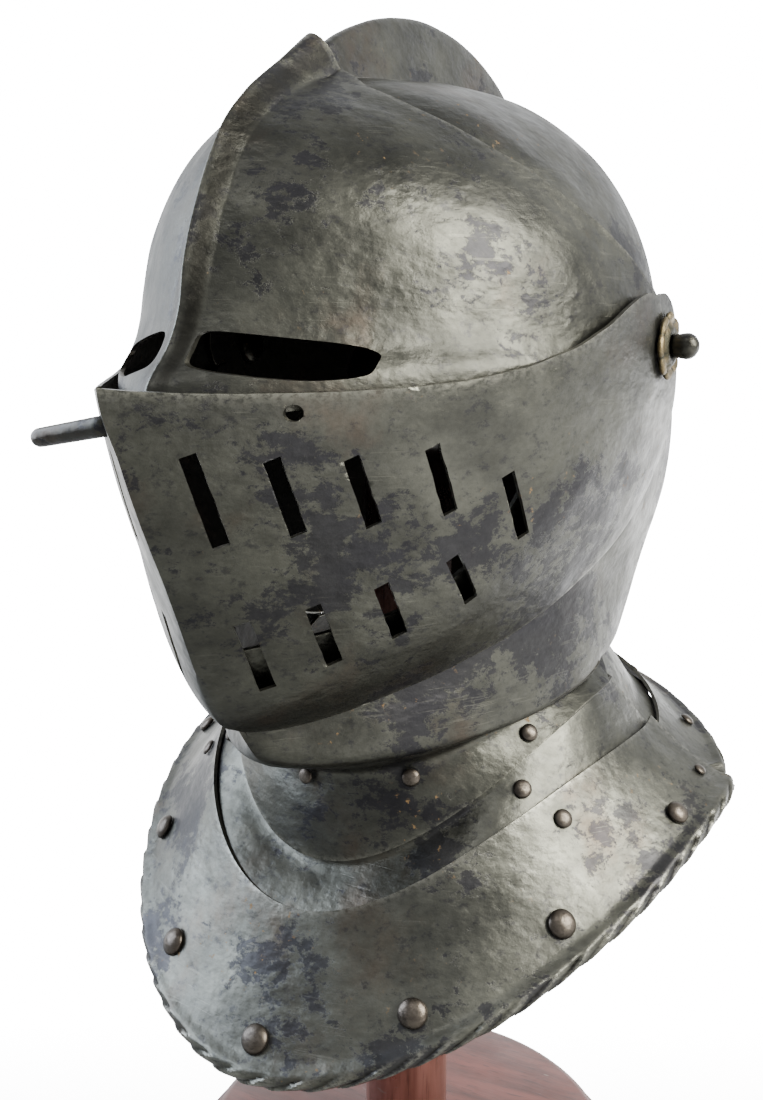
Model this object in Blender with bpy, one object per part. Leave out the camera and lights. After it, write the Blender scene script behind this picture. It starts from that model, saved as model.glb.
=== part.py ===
"""Close helmet on a plain turned stand.

The face plates turn on one cross axis through the temples. Tables are in millimetres
and degrees, measured from the middle of that axis.
A plate above the neck is drawn in sections, half planes through the axis, each at an
angle above straight ahead. In a section the plate runs from the temple (across 0) to
the middle of the helmet (across 90).
A neck plate is drawn between rings that go round the neck, turn 0 in front.
"""
import bmesh
import bpy
from collections import namedtuple
from math import acos, cos, pi, radians, sin
from mathutils import Vector

MM = 0.001

PIVOT = Vector((0, 15, 388)) * MM
PLATE = 1.6
FIT = 0.5
SKULL_HALF_WIDTH = 94.4
BEVOR_HALF_WIDTH = 97.2
VISOR_HALF_WIDTH = 100.6
VENTAIL_HALF_WIDTH = 103.6
PIN_RADIUS = 3.8
BORE_RADIUS = 4.3
SLOT_WIDTH = 5.6
LOCK_HOLE_RADIUS = 2.6
PEG_RADIUS = 3.3
PEG_LENGTH = 27
SLIT_CUT = (0.94, 1.06)
BREATH_CUT = 7
ROLL_SIDES = 6
ROLL_START = 115
ROLL_STEP = 46

Section = namedtuple("Section", "angle reach sharp swell")
Edge = namedtuple("Edge", "across low high")
Crest = namedtuple("Crest", "angle reach")
Fold = namedtuple("Fold", "offset end_offset rise")
Slot = namedtuple("Slot", "across low high")
Rib = namedtuple("Rib", "top_across top_angle jaw_across jaw_angle jaw_out turn")
Ring = namedtuple("Ring", "front side back width front_z side_z back_z"
                          " square back_square front_dip back_dip")
Lay = namedtuple("Lay", "inner outer part depth")
Station = namedtuple("Station", "turn start end roll")
Rivet = namedtuple("Rivet", "turn part radius height")
Finish = namedtuple("Finish", "colour roughness metallic")

STEEL = Finish((0.085, 0.087, 0.083, 1.0), 0.42, 0.85)
DARK_STEEL = Finish((0.055, 0.050, 0.045, 1.0), 0.50, 0.80)
BRASS = Finish((0.230, 0.170, 0.090, 1.0), 0.50, 0.80)
WOOD = Finish((0.100, 0.025, 0.015, 1.0), 0.35, 0.00)

SKULL_SECTIONS = [
    Section(-20, 160, 1.70, 0.95),
    Section(0, 145, 1.60, 0.95),
    Section(20, 132, 1.30, 0.95),
    Section(38, 124, 1.08, 0.95),
    Section(50, 121, 1.08, 0.95),
    Section(66, 109, 1.03, 0.95),
    Section(83, 104, 1.00, 0.93),
    Section(99, 106, 1.05, 0.93),
    Section(124, 112, 1.10, 0.95),
    Section(150, 116, 1.10, 0.95),
    Section(180, 119, 1.10, 0.95),
    Section(205, 126, 1.08, 0.95),
    Section(221, 140, 1.00, 0.95),
    Section(232, 154, 0.95, 0.95),
    Section(245, 166, 0.95, 0.95),
    Section(262, 178, 1.20, 0.95),
    Section(277, 186, 1.68, 0.95),
    Section(285, 190, 1.94, 0.95),
    Section(300, 184, 1.86, 0.95),
    Section(320, 171, 1.75, 0.95),
    Section(340, 160, 1.70, 0.95),
]
SKULL_EDGE = [
    Edge(5.5, -20, 340),
    Edge(10, -20, 340),
    Edge(14, 20, 320),
    Edge(19, 36, 300),
    Edge(26, 40, 290),
    Edge(33, 40, 284),
    Edge(39, 40, 277),
    Edge(45, 39, 262),
    Edge(55, 39, 245),
    Edge(70, 38, 236),
    Edge(90, 38, 232),
]
COMB = [
    Crest(30, 126),
    Crest(38, 127),
    Crest(44, 131),
    Crest(50, 133.5),
    Crest(65, 130.5),
    Crest(78, 129),
    Crest(91, 129.5),
    Crest(103, 131.5),
    Crest(117, 135),
    Crest(128, 137.5),
    Crest(142, 138),
    Crest(158, 135.5),
    Crest(174, 132),
    Crest(190, 130),
    Crest(208, 133),
    Crest(221, 144),
    Crest(232, 157),
]
CREST_WIDENS = (41, 48)
CREST_LEAST = 1.2
COMB_PROFILE = [
    Fold(5.2, 5.2, 0.0),
    Fold(3.8, 3.8, 0.55),
    Fold(2.6, 2.6, 0.92),
    Fold(0, 0, 1.0),
]

VISOR_SECTIONS = [
    Section(-60, 170, 2.00, 0.90),
    Section(-20, 188, 2.05, 0.90),
    Section(-10, 187, 1.95, 0.90),
    Section(-4, 184, 1.85, 0.90),
    Section(0, 172, 1.80, 0.90),
    Section(4, 166, 1.78, 0.90),
    Section(10, 162, 1.72, 0.90),
    Section(18, 158, 1.62, 0.90),
    Section(26, 153, 1.58, 0.90),
    Section(34, 144, 1.50, 0.91),
    Section(42, 134, 1.42, 0.92),
    Section(50, 127, 1.35, 0.92),
    Section(85, 122, 1.00, 0.94),
    Section(110, 172, 1.00, 0.92),
]
VISOR_EDGE = [
    Edge(5.5, -60, 105),
    Edge(9, -28, 78),
    Edge(14, -14, 62),
    Edge(20, -8, 53),
    Edge(30, -7, 47),
    Edge(45, -7, 44),
    Edge(60, -7, 44),
    Edge(74, -7, 46),
    Edge(84, -7, 49),
    Edge(90, -7, 50),
]
KEEL = [
    Crest(-10, 186.5),
    Crest(-4, 184),
    Crest(0, 173),
    Crest(4, 167.5),
    Crest(9, 166),
    Crest(15, 163.5),
    Crest(22, 160.5),
    Crest(27, 158),
    Crest(32, 153.5),
    Crest(40, 145.8),
    Crest(46, 142),
    Crest(50, 140.3),
]
KEEL_PROFILE = [
    Fold(6.8, 6.8, 0.0),
    Fold(5.1, 6.3, 0.38),
    Fold(4.1, 5.8, 0.68),
    Fold(1.9, 3.7, 0.92),
    Fold(0, 0, 1.0),
]
EYE_SLIT = [
    Slot(46.3, -3.5, -2.3),
    Slot(49.2, -3.8, -0.2),
    Slot(53.0, -3.9, 0.5),
    Slot(58.7, -3.5, 1.0),
    Slot(65.0, -2.9, 1.4),
    Slot(72.0, -2.1, 1.75),
    Slot(75.5, -0.7, 1.8),
    Slot(78.0, 0.8, 1.6),
]

VENTAIL_SECTIONS = [
    Section(-190, 150, 1.20, 0.90),
    Section(-150, 142, 1.15, 0.90),
    Section(-120, 142, 1.20, 0.90),
    Section(-90, 153, 1.30, 0.90),
    Section(-74, 163, 1.42, 0.90),
    Section(-63, 173, 1.48, 0.90),
    Section(-50, 184, 1.55, 0.90),
    Section(-40, 196, 1.65, 0.90),
    Section(-33, 194, 1.72, 0.90),
    Section(-26, 192, 1.80, 0.90),
    Section(-20, 193, 1.85, 0.90),
    Section(-10, 199, 1.97, 0.90),
    Section(-3, 205, 2.10, 0.90),
    Section(10, 198, 1.75, 0.90),
    Section(40, 180, 1.50, 0.90),
    Section(90, 160, 1.30, 0.90),
]
VENTAIL_EDGE = [
    Edge(5.5, -172, 68),
    Edge(8, -158, 32),
    Edge(12, -140, 10),
    Edge(17, -118, 0),
    Edge(24, -94, -4),
    Edge(31, -76, -5.2),
    Edge(38, -65, -5.3),
    Edge(47, -56, -4.9),
    Edge(58, -50.5, -4.3),
    Edge(68, -47.5, -3.8),
    Edge(79, -44.2, -3.3),
    Edge(90, -40.5, -3),
]
BREATHS = [
    Slot(68.0, -19.6, -9.7),
    Slot(56.6, -20.6, -11.4),
    Slot(47.4, -22.6, -13.0),
    Slot(38.2, -25.4, -14.2),
    Slot(30.2, -37.4, -23.9),
    Slot(69.6, -37.0, -28.6),
    Slot(58.2, -37.6, -29.6),
    Slot(48.9, -38.7, -30.8),
    Slot(39.5, -41.2, -32.4),
]
LOCK_HOLE = (52, -6.8)
PEG_FOOT = (72, -6.8)
PEG_AXIS = (-1, 0, -0.17)

BEVOR_SECTIONS = [
    Section(-190, 225, 1.30, 0.90),
    Section(-130, 215, 1.30, 0.90),
    Section(-110, 201, 1.36, 0.90),
    Section(-90, 181, 1.42, 0.90),
    Section(-75, 172, 1.46, 0.90),
    Section(-63, 168, 1.52, 0.90),
    Section(-50, 177, 1.60, 0.90),
    Section(-40, 187, 1.72, 0.90),
    Section(-33, 187, 1.95, 0.90),
    Section(-10, 187, 2.40, 0.90),
    Section(40, 180, 2.50, 0.90),
    Section(150, 200, 1.40, 0.90),
]
BEVOR_RIBS = [
    Rib(90, -33, 90, -41.6, 1.030, 0),
    Rib(72, -33.5, 74, -46.8, 1.030, 12),
    Rib(57, -36, 60, -50.8, 1.026, 24),
    Rib(46, -38.5, 50, -56.5, 1.020, 37),
    Rib(36, -38, 42, -63, 1.012, 51),
    Rib(27, -32, 36, -72, 1.0, 66),
    Rib(18, -16, 32.5, -80, 1.0, 77),
    Rib(11, 12, 30.5, -87, 1.0, 85),
    Rib(6, 50, 29.4, -93, 1.0, 90),
    Rib(6, 0, 28.7, -98, 1.0, 94),
    Rib(6, -55, 28.0, -104, 1.0, 98),
    Rib(6, -110, 27.3, -110, 1.0, 103),
    Rib(6, -165, 26.5, -118, 1.0, 108),
]
ARM_RIB = 8
BEVOR_ARM_END = (98, 145)
BEVOR_RINGS = (("chin", 1.0), ("neck", 0.92), ("flange", 0.84))

RINGS = {
    "chin": Ring(126, -10, -98, 79, -147, -127, -110, 1.60, 2.4, 0.5, 1.4),
    "neck": Ring(86, -10, -103, 74, -162, -133, -116, 1.95, 2.2, 1.4, 1.4),
    "nape": Ring(86, -10, -106, 68, -162, -125, -116, 1.95, 2.2, 1.4, 1.4),
    "flange": Ring(91, -10, -109, 82.5, -197, -140, -127, 1.94, 2.0, 1.9, 1.4),
    "collar": Ring(108, -26, -116, 94, -210, -161.5, -139, 1.98, 1.98, 2.6, 1.4),
    "rim": Ring(139, -26, -131, 126.5, -257, -183.5, -152, 1.88, 1.88, 1.38, 1.43),
}
FRONT_LAME = [
    Lay("neck", "flange", 0.80, 2.7),
    Lay("flange", "collar", 0.00, 2.7),
    Lay("flange", "collar", 0.50, 2.6),
    Lay("flange", "collar", 1.00, 2.7),
    Lay("collar", "rim", 0.13, 2.7),
]
FRONT_MAIN = [
    Lay("collar", "rim", 0.00, 0.0),
    Lay("collar", "rim", 0.25, 1.0),
    Lay("collar", "rim", 0.50, 1.4),
    Lay("collar", "rim", 0.75, 1.0),
    Lay("collar", "rim", 1.00, 0.0),
]
REAR_LAME = [
    Lay("nape", "flange", 0.00, 4.0),
    Lay("neck", "flange", 0.80, 5.2),
    Lay("flange", "collar", 0.50, 5.6),
    Lay("flange", "collar", 1.00, 6.0),
    Lay("collar", "rim", 0.22, 6.8),
]
BEVOR_FLANGE = [
    Lay("neck", "flange", 0.0, 0.0),
    Lay("neck", "flange", 1.0, 0.0),
]
REAR_MAIN = [
    Lay("collar", "rim", 0.16, 3.4),
    Lay("collar", "rim", 0.36, 4.4),
    Lay("collar", "rim", 0.58, 5.2),
    Lay("collar", "rim", 0.80, 5.2),
    Lay("collar", "rim", 1.00, 4.4),
]


def curve_through(xs, ys, where):
    """A smooth curve through the points, straight beyond the ends."""
    last = len(xs) - 1
    slopes = []
    for i in range(last + 1):
        before, after = max(i - 1, 0), min(i + 1, last)
        slopes.append((ys[after] - ys[before]) / (xs[after] - xs[before]))
    if where <= xs[0]:
        return ys[0] + (where - xs[0]) * slopes[0]
    if where >= xs[last]:
        return ys[last] + (where - xs[last]) * slopes[last]
    i = max(k for k in range(last) if xs[k] <= where)
    span = xs[i + 1] - xs[i]
    t = (where - xs[i]) / span
    start = (2 * t**3 - 3 * t**2 + 1) * ys[i] + (t**3 - 2 * t**2 + t) * span * slopes[i]
    end = (3 * t**2 - 2 * t**3) * ys[i + 1] + (t**3 - t**2) * span * slopes[i + 1]
    return start + end


def straight_through(xs, ys, where):
    """Straight lines through the points."""
    i = max([k for k in range(len(xs) - 1) if xs[k] <= where], default=0)
    return ys[i] + (ys[i + 1] - ys[i]) * (where - xs[i]) / (xs[i + 1] - xs[i])


def column_of(rows, column):
    return [getattr(row, column) for row in rows]


def at_angle(rows, column, angle):
    return curve_through(column_of(rows, "angle"), column_of(rows, column), angle)


def polar(x, reach, angle):
    """A point beside the cross axis, at a distance from it and an angle above straight ahead."""
    return Vector((x, -reach * cos(radians(angle)), reach * sin(radians(angle))))


def shell_point(sections, half_width, angle, across):
    """A point on a plate of sections, on the wearer's left."""
    x = half_width * max(cos(radians(across)), 0) ** at_angle(sections, "sharp", angle)
    swell = sin(radians(across)) ** at_angle(sections, "swell", angle)
    return polar(x, at_angle(sections, "reach", angle) * swell, angle)


def reach_beside_middle(sections, half_width, angle, x):
    """How far the plate lies from the cross axis, a few millimetres beside the middle."""
    across = acos((x / half_width) ** (1 / at_angle(sections, "sharp", angle)))
    swell = sin(across) ** at_angle(sections, "swell", angle)
    return at_angle(sections, "reach", angle) * swell


def give_finish(thing, finish):
    made = bpy.data.materials.new(thing.name)
    made.use_nodes = True
    shader = made.node_tree.nodes["Principled BSDF"]
    shader.inputs["Base Color"].default_value = finish.colour
    shader.inputs["Roughness"].default_value = finish.roughness
    shader.inputs["Metallic"].default_value = finish.metallic
    thing.data.materials.append(made)


def make_piece(name, points, faces, finish, parent, closed=True):
    """A mesh from points in millimetres, its faces turned outward and shaded smooth."""
    mesh = bpy.data.meshes.new(name)
    mesh.from_pydata([Vector(p) * MM for p in points], [], faces)
    bm = bmesh.new()
    bm.from_mesh(mesh)
    bmesh.ops.remove_doubles(bm, verts=bm.verts, dist=0.00001)
    bmesh.ops.recalc_face_normals(bm, faces=bm.faces)
    if closed:
        outward = bm.calc_volume(signed=True)
    else:
        outward = sum(face.normal.dot(face.calc_center_median()) * face.calc_area() for face in bm.faces)
    if outward < 0:
        bmesh.ops.reverse_faces(bm, faces=bm.faces)
    bm.to_mesh(mesh)
    bm.free()
    mesh.shade_smooth()
    mesh.set_sharp_from_angle(angle=radians(38))
    thing = bpy.data.objects.new(name, mesh)
    bpy.context.scene.collection.objects.link(thing)
    thing.parent = parent
    give_finish(thing, finish)
    return thing


def make_hinge(name):
    hinge = bpy.data.objects.new(name, None)
    hinge.location = PIVOT
    bpy.context.scene.collection.objects.link(hinge)
    return hinge


def thicken(thing):
    solidify = thing.modifiers.new("plate thickness", "SOLIDIFY")
    solidify.thickness = PLATE * MM
    solidify.offset = -1
    solidify.use_even_offset = True


def even_shading(thing):
    """Keeps the shading of a curved plate calm round its cut holes."""
    weighted = thing.modifiers.new("even shading", "WEIGHTED_NORMAL")
    weighted.keep_sharp = True


def cut_with(thing, cutter):
    cutter.hide_render = True
    cutter.display_type = "WIRE"
    boolean = thing.modifiers.new("cut " + cutter.name, "BOOLEAN")
    boolean.operation = "DIFFERENCE"
    boolean.object = cutter
    boolean.solver = "EXACT"


def grid_faces(columns, rows):
    """Quads between columns of points that follow one another."""
    faces = []
    for c in range(columns - 1):
        for r in range(rows - 1):
            a, b = c * rows + r, (c + 1) * rows + r
            faces.append((a, b, b + 1, a + 1))
    return faces


def both_sides(half):
    """Columns from the left temple to the middle, then on to the right temple."""
    return half + [[Vector((-p.x, p.y, p.z)) for p in column] for column in half[-2::-1]]


def crest_columns(sections, half_width, crest, profile, low, high, fractions):
    """Columns that rise from the plate to the ridge along its middle.

    A fold moves from its offset to its end offset over the angles of CREST_WIDENS.
    """
    starts, ends = CREST_WIDENS
    columns = []
    for fold in profile:
        column = []
        for fraction in fractions:
            angle = low + (high - low) * fraction
            base = reach_beside_middle(sections, half_width, angle, profile[0].offset)
            top = max(at_angle(crest, "reach", angle), base + CREST_LEAST)
            widened = min(max((angle - starts) / (ends - starts), 0), 1)
            offset = fold.offset + (fold.end_offset - fold.offset) * widened
            column.append(polar(offset, base + (top - base) * fold.rise, angle))
        columns.append(column)
    return columns


def make_face_plate(name, sections, half_width, edges, acrosses, fractions, parent, crest=None,
                    profile=(), open_arc=0):
    """A plate whose arms end in round discs at the temples."""
    table = column_of(edges, "across")
    half = []
    for across in acrosses:
        low = straight_through(table, column_of(edges, "low"), across)
        high = straight_through(table, column_of(edges, "high"), across)
        half.append([shell_point(sections, half_width, low + (high - low) * fraction, across)
                     for fraction in fractions])
    if crest:
        half += crest_columns(sections, half_width, crest, profile, edges[-1].low, edges[-1].high, fractions)
    columns = both_sides(half)
    rows = len(fractions)
    points = [p for column in columns for p in column]
    faces = grid_faces(len(columns), rows)
    low, high = edges[0].low, edges[0].high
    for first, side in ((0, 1), ((len(columns) - 1) * rows, -1)):
        disc = [first + r for r in range(rows if open_arc else rows - 1)]
        ends = [shell_point(sections, half_width, angle, acrosses[0]) for angle in (low, high)]
        for k in range(open_arc):
            share = (k + 1) / (open_arc + 1)
            reach = ends[1].yz.length + (ends[0].yz.length - ends[1].yz.length) * share
            x = ends[1].x + (ends[0].x - ends[1].x) * share
            disc.append(len(points))
            points.append(polar(side * x, reach, high + (low + 360 - high) * share))
        faces.append(disc)
    plate = make_piece(name, points, faces, STEEL, parent, closed=False)
    thicken(plate)
    return plate


def make_slit_cutter(name, sections, half_width, stations, side, parent):
    """A block through the plate, its outline given by low and high at each across."""
    points = []
    inside, outside = SLIT_CUT
    for station in stations:
        for angle, scale in ((station.low, inside), (station.high, inside),
                             (station.high, outside), (station.low, outside)):
            p = shell_point(sections, half_width, angle, station.across) * scale
            points.append(Vector((p.x * side, p.y, p.z)))
    faces = []
    last = 4 * (len(stations) - 1)
    for i in range(0, last, 4):
        for k in range(4):
            n = (k + 1) % 4
            faces.append((i + k, i + n, i + 4 + n, i + 4 + k))
    faces += [(0, 1, 2, 3), (last, last + 1, last + 2, last + 3)]
    return make_piece(name, points, faces, DARK_STEEL, parent)


def make_breath_cutter(name, slot, side, parent):
    """A straight block as wide as a breathing slot, square to the ventail."""
    low, high = (shell_point(VENTAIL_SECTIONS, VENTAIL_HALF_WIDTH, angle, slot.across)
                 for angle in (slot.low, slot.high))
    beside = shell_point(VENTAIL_SECTIONS, VENTAIL_HALF_WIDTH, (slot.low + slot.high) / 2, slot.across + 2)
    middle = (low + high) / 2
    along = (high - low).normalized()
    width = (beside - middle - along * (beside - middle).dot(along)).normalized()
    out = along.cross(width).normalized() * BREATH_CUT
    points = []
    for end in (low, high):
        for w, o in ((-1, -1), (1, -1), (1, 1), (-1, 1)):
            p = end + width * (w * SLOT_WIDTH / 2) + out * o
            points.append(Vector((p.x * side, p.y, p.z)))
    faces = [(0, 1, 2, 3), (4, 5, 6, 7), (0, 1, 5, 4), (1, 2, 6, 5), (2, 3, 7, 6), (3, 0, 4, 7)]
    return make_piece(name, points, faces, DARK_STEEL, parent)


def make_turned(name, profile, finish, parent, origin=(0, 0, 0), axis=(0, 0, 1), sides=12, lobes=0):
    """A solid turned round an axis, from (along, radius) rows. Lobes scallop its edge."""
    axis = Vector(axis).normalized()
    across = axis.orthogonal().normalized()
    beside = axis.cross(across)
    points, rings, faces = [], [], []
    for along, radius in profile:
        ring = []
        for k in range(sides if radius > 0 else 1):
            a = 2 * pi * k / sides
            scalloped = radius * (1 + 0.05 * cos(lobes * a)) if lobes and radius > 8 else radius
            ring.append(len(points))
            points.append(Vector(origin) + axis * along + across * scalloped * cos(a)
                          + beside * scalloped * sin(a))
        rings.append(ring)
    for a, b in zip(rings, rings[1:]):
        for k in range(sides):
            corners = [a[k % len(a)], a[(k + 1) % len(a)], b[(k + 1) % len(b)], b[k % len(b)]]
            faces.append(list(dict.fromkeys(corners)))
    if profile[0] == profile[-1]:
        faces = faces[:-sides]
        for k in range(sides):
            n = (k + 1) % sides
            faces.append([rings[-2][k], rings[-2][n], rings[0][n], rings[0][k]])
    else:
        faces += [ring for ring in (rings[0], rings[-1]) if len(ring) > 1]
    return make_piece(name, points, faces, finish, parent)


def ring_point(name, turn):
    """A point of a neck ring. Turn 0 is in front, 90 on the left and 180 behind."""
    ring = RINGS[name]
    c, s = cos(radians(turn)), sin(radians(turn))
    far, far_z, square, dip = ring.front, ring.front_z, ring.square, ring.front_dip
    if c < 0:
        far, far_z, square, dip = ring.back, ring.back_z, ring.back_square, ring.back_dip
    k = abs(c) ** (2 / square)
    x = ring.width * abs(s) ** (2 / square) * (1 if s >= 0 else -1)
    return Vector((x, -ring.side - (far - ring.side) * k, ring.side_z + (far_z - ring.side_z) * k**dip))


def lay_point(inner, outer, turn, part, depth):
    """A point between two rings, sunk by a depth, and the upward direction there."""
    def on(turn_there, share):
        a = ring_point(inner, turn_there)
        return a + (ring_point(outer, turn_there) - a) * share
    along = on(turn + 2, part) - on(turn - 2, part)
    out = on(turn, 1) - on(turn, 0)
    up = along.cross(out).normalized()
    if up.z < 0:
        up = -up
    return on(turn, part) - up * depth, up, out.normalized()


def make_neck_plate(name, lays, stations, parent):
    """A curved plate that follows its lays, with a turned roll along the outer edge."""
    sections = []
    for station in stations:
        top, under = [], []
        for lay in lays:
            share = lay.part
            if lay is lays[-1]:
                share = station.end
            elif lay is lays[0]:
                share = station.start
            p, up, out = lay_point(lay.inner, lay.outer, station.turn, share, lay.depth)
            top.append(p)
            under.append(p - up * PLATE)
        if station.roll:
            centre = top[-1] + out * (station.roll * 0.8) - up * (station.roll * 0.45)
            for k in range(ROLL_SIDES):
                a = radians(ROLL_START - ROLL_STEP * k)
                top.append(centre + (out * cos(a) + up * sin(a)) * station.roll)
        sections.append(top + under[::-1])
    count = len(sections[0])
    points = [p for section in sections for p in section]
    faces = [list(range(count)), list(range(len(points) - count, len(points)))]
    for i in range(len(sections) - 1):
        for k in range(count):
            a, n = i * count, (k + 1) % count
            faces.append((a + k, a + n, a + count + n, a + count + k))
    return make_piece(name, points, faces, STEEL, parent)


def make_bevor(parent):
    """The chin piece, from its arms over the jaw to the neck and the turned out flange."""
    ribs = []
    indices = list(range(len(BEVOR_RIBS)))
    for where in [k / 2 for k in range(2 * ARM_RIB)] + indices[ARM_RIB:]:
        ribs.append(Rib(*(curve_through(indices, column_of(BEVOR_RIBS, column), where)
                          for column in Rib._fields)))
    half = []
    for rib in reversed(ribs):
        column = []
        for t in (0, 0.33, 0.67, 1):
            across = rib.top_across + (rib.jaw_across - rib.top_across) * t
            angle = rib.top_angle + (rib.jaw_angle - rib.top_angle) * t
            column.append(shell_point(BEVOR_SECTIONS, BEVOR_HALF_WIDTH, angle, min(across, 90)))
        column[-1] *= rib.jaw_out
        chin, neck, flange = (ring_point(name, rib.turn * share) for name, share in BEVOR_RINGS)
        column += [chin, chin.lerp(neck, 0.55), neck, neck.lerp(flange, 0.5), flange]
        half.append(column)
    columns = both_sides(half)
    rows = len(half[0])
    points = [p for column in columns for p in column]
    faces = grid_faces(len(columns), rows)
    round_arm = len(BEVOR_RIBS) - ARM_RIB
    for side in (1, -1):
        disc = []
        for c in range(round_arm):
            disc.append((c if side > 0 else len(columns) - 1 - c) * rows)
        for angle in BEVOR_ARM_END:
            p = shell_point(BEVOR_SECTIONS, BEVOR_HALF_WIDTH, angle, 6)
            disc.append(len(points))
            points.append(Vector((side * p.x, p.y, p.z)))
        faces.append(disc)
    plate = make_piece("bevor", points, faces, STEEL, parent, closed=False)
    thicken(plate)
    return plate


def place_rivet(name, spot, up, radius, height, finish, parent):
    """A round-headed rivet that stands a hair above the plate."""
    foot = FIT + 0.06 * radius
    dome = [(foot, radius), (foot + 0.6 * height, 0.76 * radius), (foot + height, 0)]
    return make_turned(name, dome, finish, parent, spot, up, sides=8)


def rivets_along(name, lays, rivets, parent):
    """Rivets on a neck plate, in pairs unless they stand in the middle or at a turn below 0."""
    for number, rivet in enumerate(rivets, 1):
        alone = rivet.turn <= 0 or rivet.turn == 180
        sides = ((1, ""),) if alone else ((1, "_left"), (-1, "_right"))
        for side, suffix in sides:
            inner, outer, share, depth = rivet_seat(lays, rivet.part)
            spot, up, _ = lay_point(inner, outer, side * rivet.turn, share, depth)
            place_rivet(f"{name}_{number}{suffix}", spot, up, rivet.radius, rivet.height, DARK_STEEL, parent)


def rivet_seat(lays, part):
    """The rings, share and depth of the outer band of a plate at a given part of it."""
    band = [lay for lay in lays if (lay.inner, lay.outer) == (lays[-1].inner, lays[-1].outer)]
    depth = curve_through(column_of(band, "part"), column_of(band, "depth"), part)
    return band[0].inner, band[0].outer, part, depth


def spread(first, last, count):
    return [first + (last - first) * k / (count - 1) for k in range(count)]


for thing in list(bpy.data.objects):
    bpy.data.objects.remove(thing, do_unlink=True)

skull_hinge = make_hinge("skull_axis")
bevor_hinge = make_hinge("bevor_axis")
visor_hinge = make_hinge("visor_axis")
ventail_hinge = make_hinge("ventail_axis")

bore = make_turned("pivot_bore", [(-125, BORE_RADIUS), (125, BORE_RADIUS)], DARK_STEEL, skull_hinge,
                   axis=(1, 0, 0), sides=16)

skull = make_face_plate(
    "skull", SKULL_SECTIONS, SKULL_HALF_WIDTH, SKULL_EDGE,
    acrosses=[5.5, 10, 14, 19, 26, 33, 39, 45, 53, 62, 72, 82],
    fractions=spread(0, 1, 18), parent=skull_hinge, crest=COMB, profile=COMB_PROFILE)
cut_with(skull, bore)

visor = make_face_plate(
    "visor", VISOR_SECTIONS, VISOR_HALF_WIDTH, VISOR_EDGE,
    acrosses=[5.5, 9, 14, 20, 27, 35, 43, 51, 59, 66, 72],
    fractions=[0, 0.06, 0.12, 0.19, 0.27, 0.37, 0.49, 0.62, 0.75, 0.88, 1],
    parent=visor_hinge, crest=KEEL, profile=KEEL_PROFILE, open_arc=5)
cut_with(visor, bore)
for side, suffix in ((1, "left"), (-1, "right")):
    cut_with(visor, make_slit_cutter("eye_slit_" + suffix, VISOR_SECTIONS, VISOR_HALF_WIDTH, EYE_SLIT, side,
                                     visor_hinge))

ventail = make_face_plate(
    "ventail", VENTAIL_SECTIONS, VENTAIL_HALF_WIDTH, VENTAIL_EDGE,
    acrosses=[5.5, 8, 12, 17, 24, 31, 39, 48, 57, 66, 75, 83, 90],
    fractions=spread(0, 1, 10), parent=ventail_hinge, open_arc=3)
cut_with(ventail, bore)
for side, suffix in ((1, "left"), (-1, "right")):
    for number, slot in enumerate(BREATHS, 1):
        cut_with(ventail, make_breath_cutter(f"breath_{number}_{suffix}", slot, side, ventail_hinge))
    across, angle = LOCK_HOLE
    spot = shell_point(VENTAIL_SECTIONS, VENTAIL_HALF_WIDTH, angle, across)
    spot.x *= side
    cut_with(ventail, make_turned("lock_hole_" + suffix, [(-8, LOCK_HOLE_RADIUS), (8, LOCK_HOLE_RADIUS)],
                                  DARK_STEEL, ventail_hinge, spot, spot, sides=12))

for plate in (skull, visor):
    even_shading(plate)

across, angle = PEG_FOOT
foot = shell_point(VENTAIL_SECTIONS, VENTAIL_HALF_WIDTH, angle, across)
foot.x = -foot.x
cut_with(ventail, make_turned("peg_bore", [(-7, PEG_RADIUS + FIT), (9, PEG_RADIUS + FIT)], DARK_STEEL,
                              ventail_hinge, foot, PEG_AXIS, sides=14))
even_shading(ventail)
peg_profile = [(-5, PEG_RADIUS), (PEG_LENGTH, 0.92 * PEG_RADIUS), (PEG_LENGTH + 1, 0.7 * PEG_RADIUS)]
make_turned("lifting_peg", peg_profile, DARK_STEEL, ventail_hinge, foot, PEG_AXIS, sides=14)

bevor = make_bevor(bevor_hinge)
cut_with(bevor, bore)

front_turns = [-98, -92, -83, -72, -60, -48, -36, -24, -12]
front_turns = front_turns + [0] + [-turn for turn in reversed(front_turns)]
make_neck_plate("front_lame", FRONT_LAME,
                [Station(0.985 * turn, 0.80, 0.13, 0) for turn in front_turns], bevor_hinge)
make_neck_plate("front_main_plate", FRONT_MAIN,
                [Station(turn, 0.0, 1.0, 4.2) for turn in front_turns], bevor_hinge)
rear_turns = [92, 96, 101, 107, 116, 128, 142, 156, 168, 180]
rear_turns = rear_turns + [360 - turn for turn in reversed(rear_turns[:-1])]
make_neck_plate("rear_lame", REAR_LAME, [Station(turn, 0.0, 0.22, 0) for turn in rear_turns], skull_hinge)
tongue = {92: (0.84, 1.2), 96: (0.84, 1.2), 101: (0.86, 1.2), 107: (1.0, 4.2)}
make_neck_plate("rear_main_plate", REAR_MAIN,
                [Station(turn, 0.16, *tongue.get(min(turn, 360 - turn), (1.0, 4.2))) for turn in rear_turns],
                skull_hinge)

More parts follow.
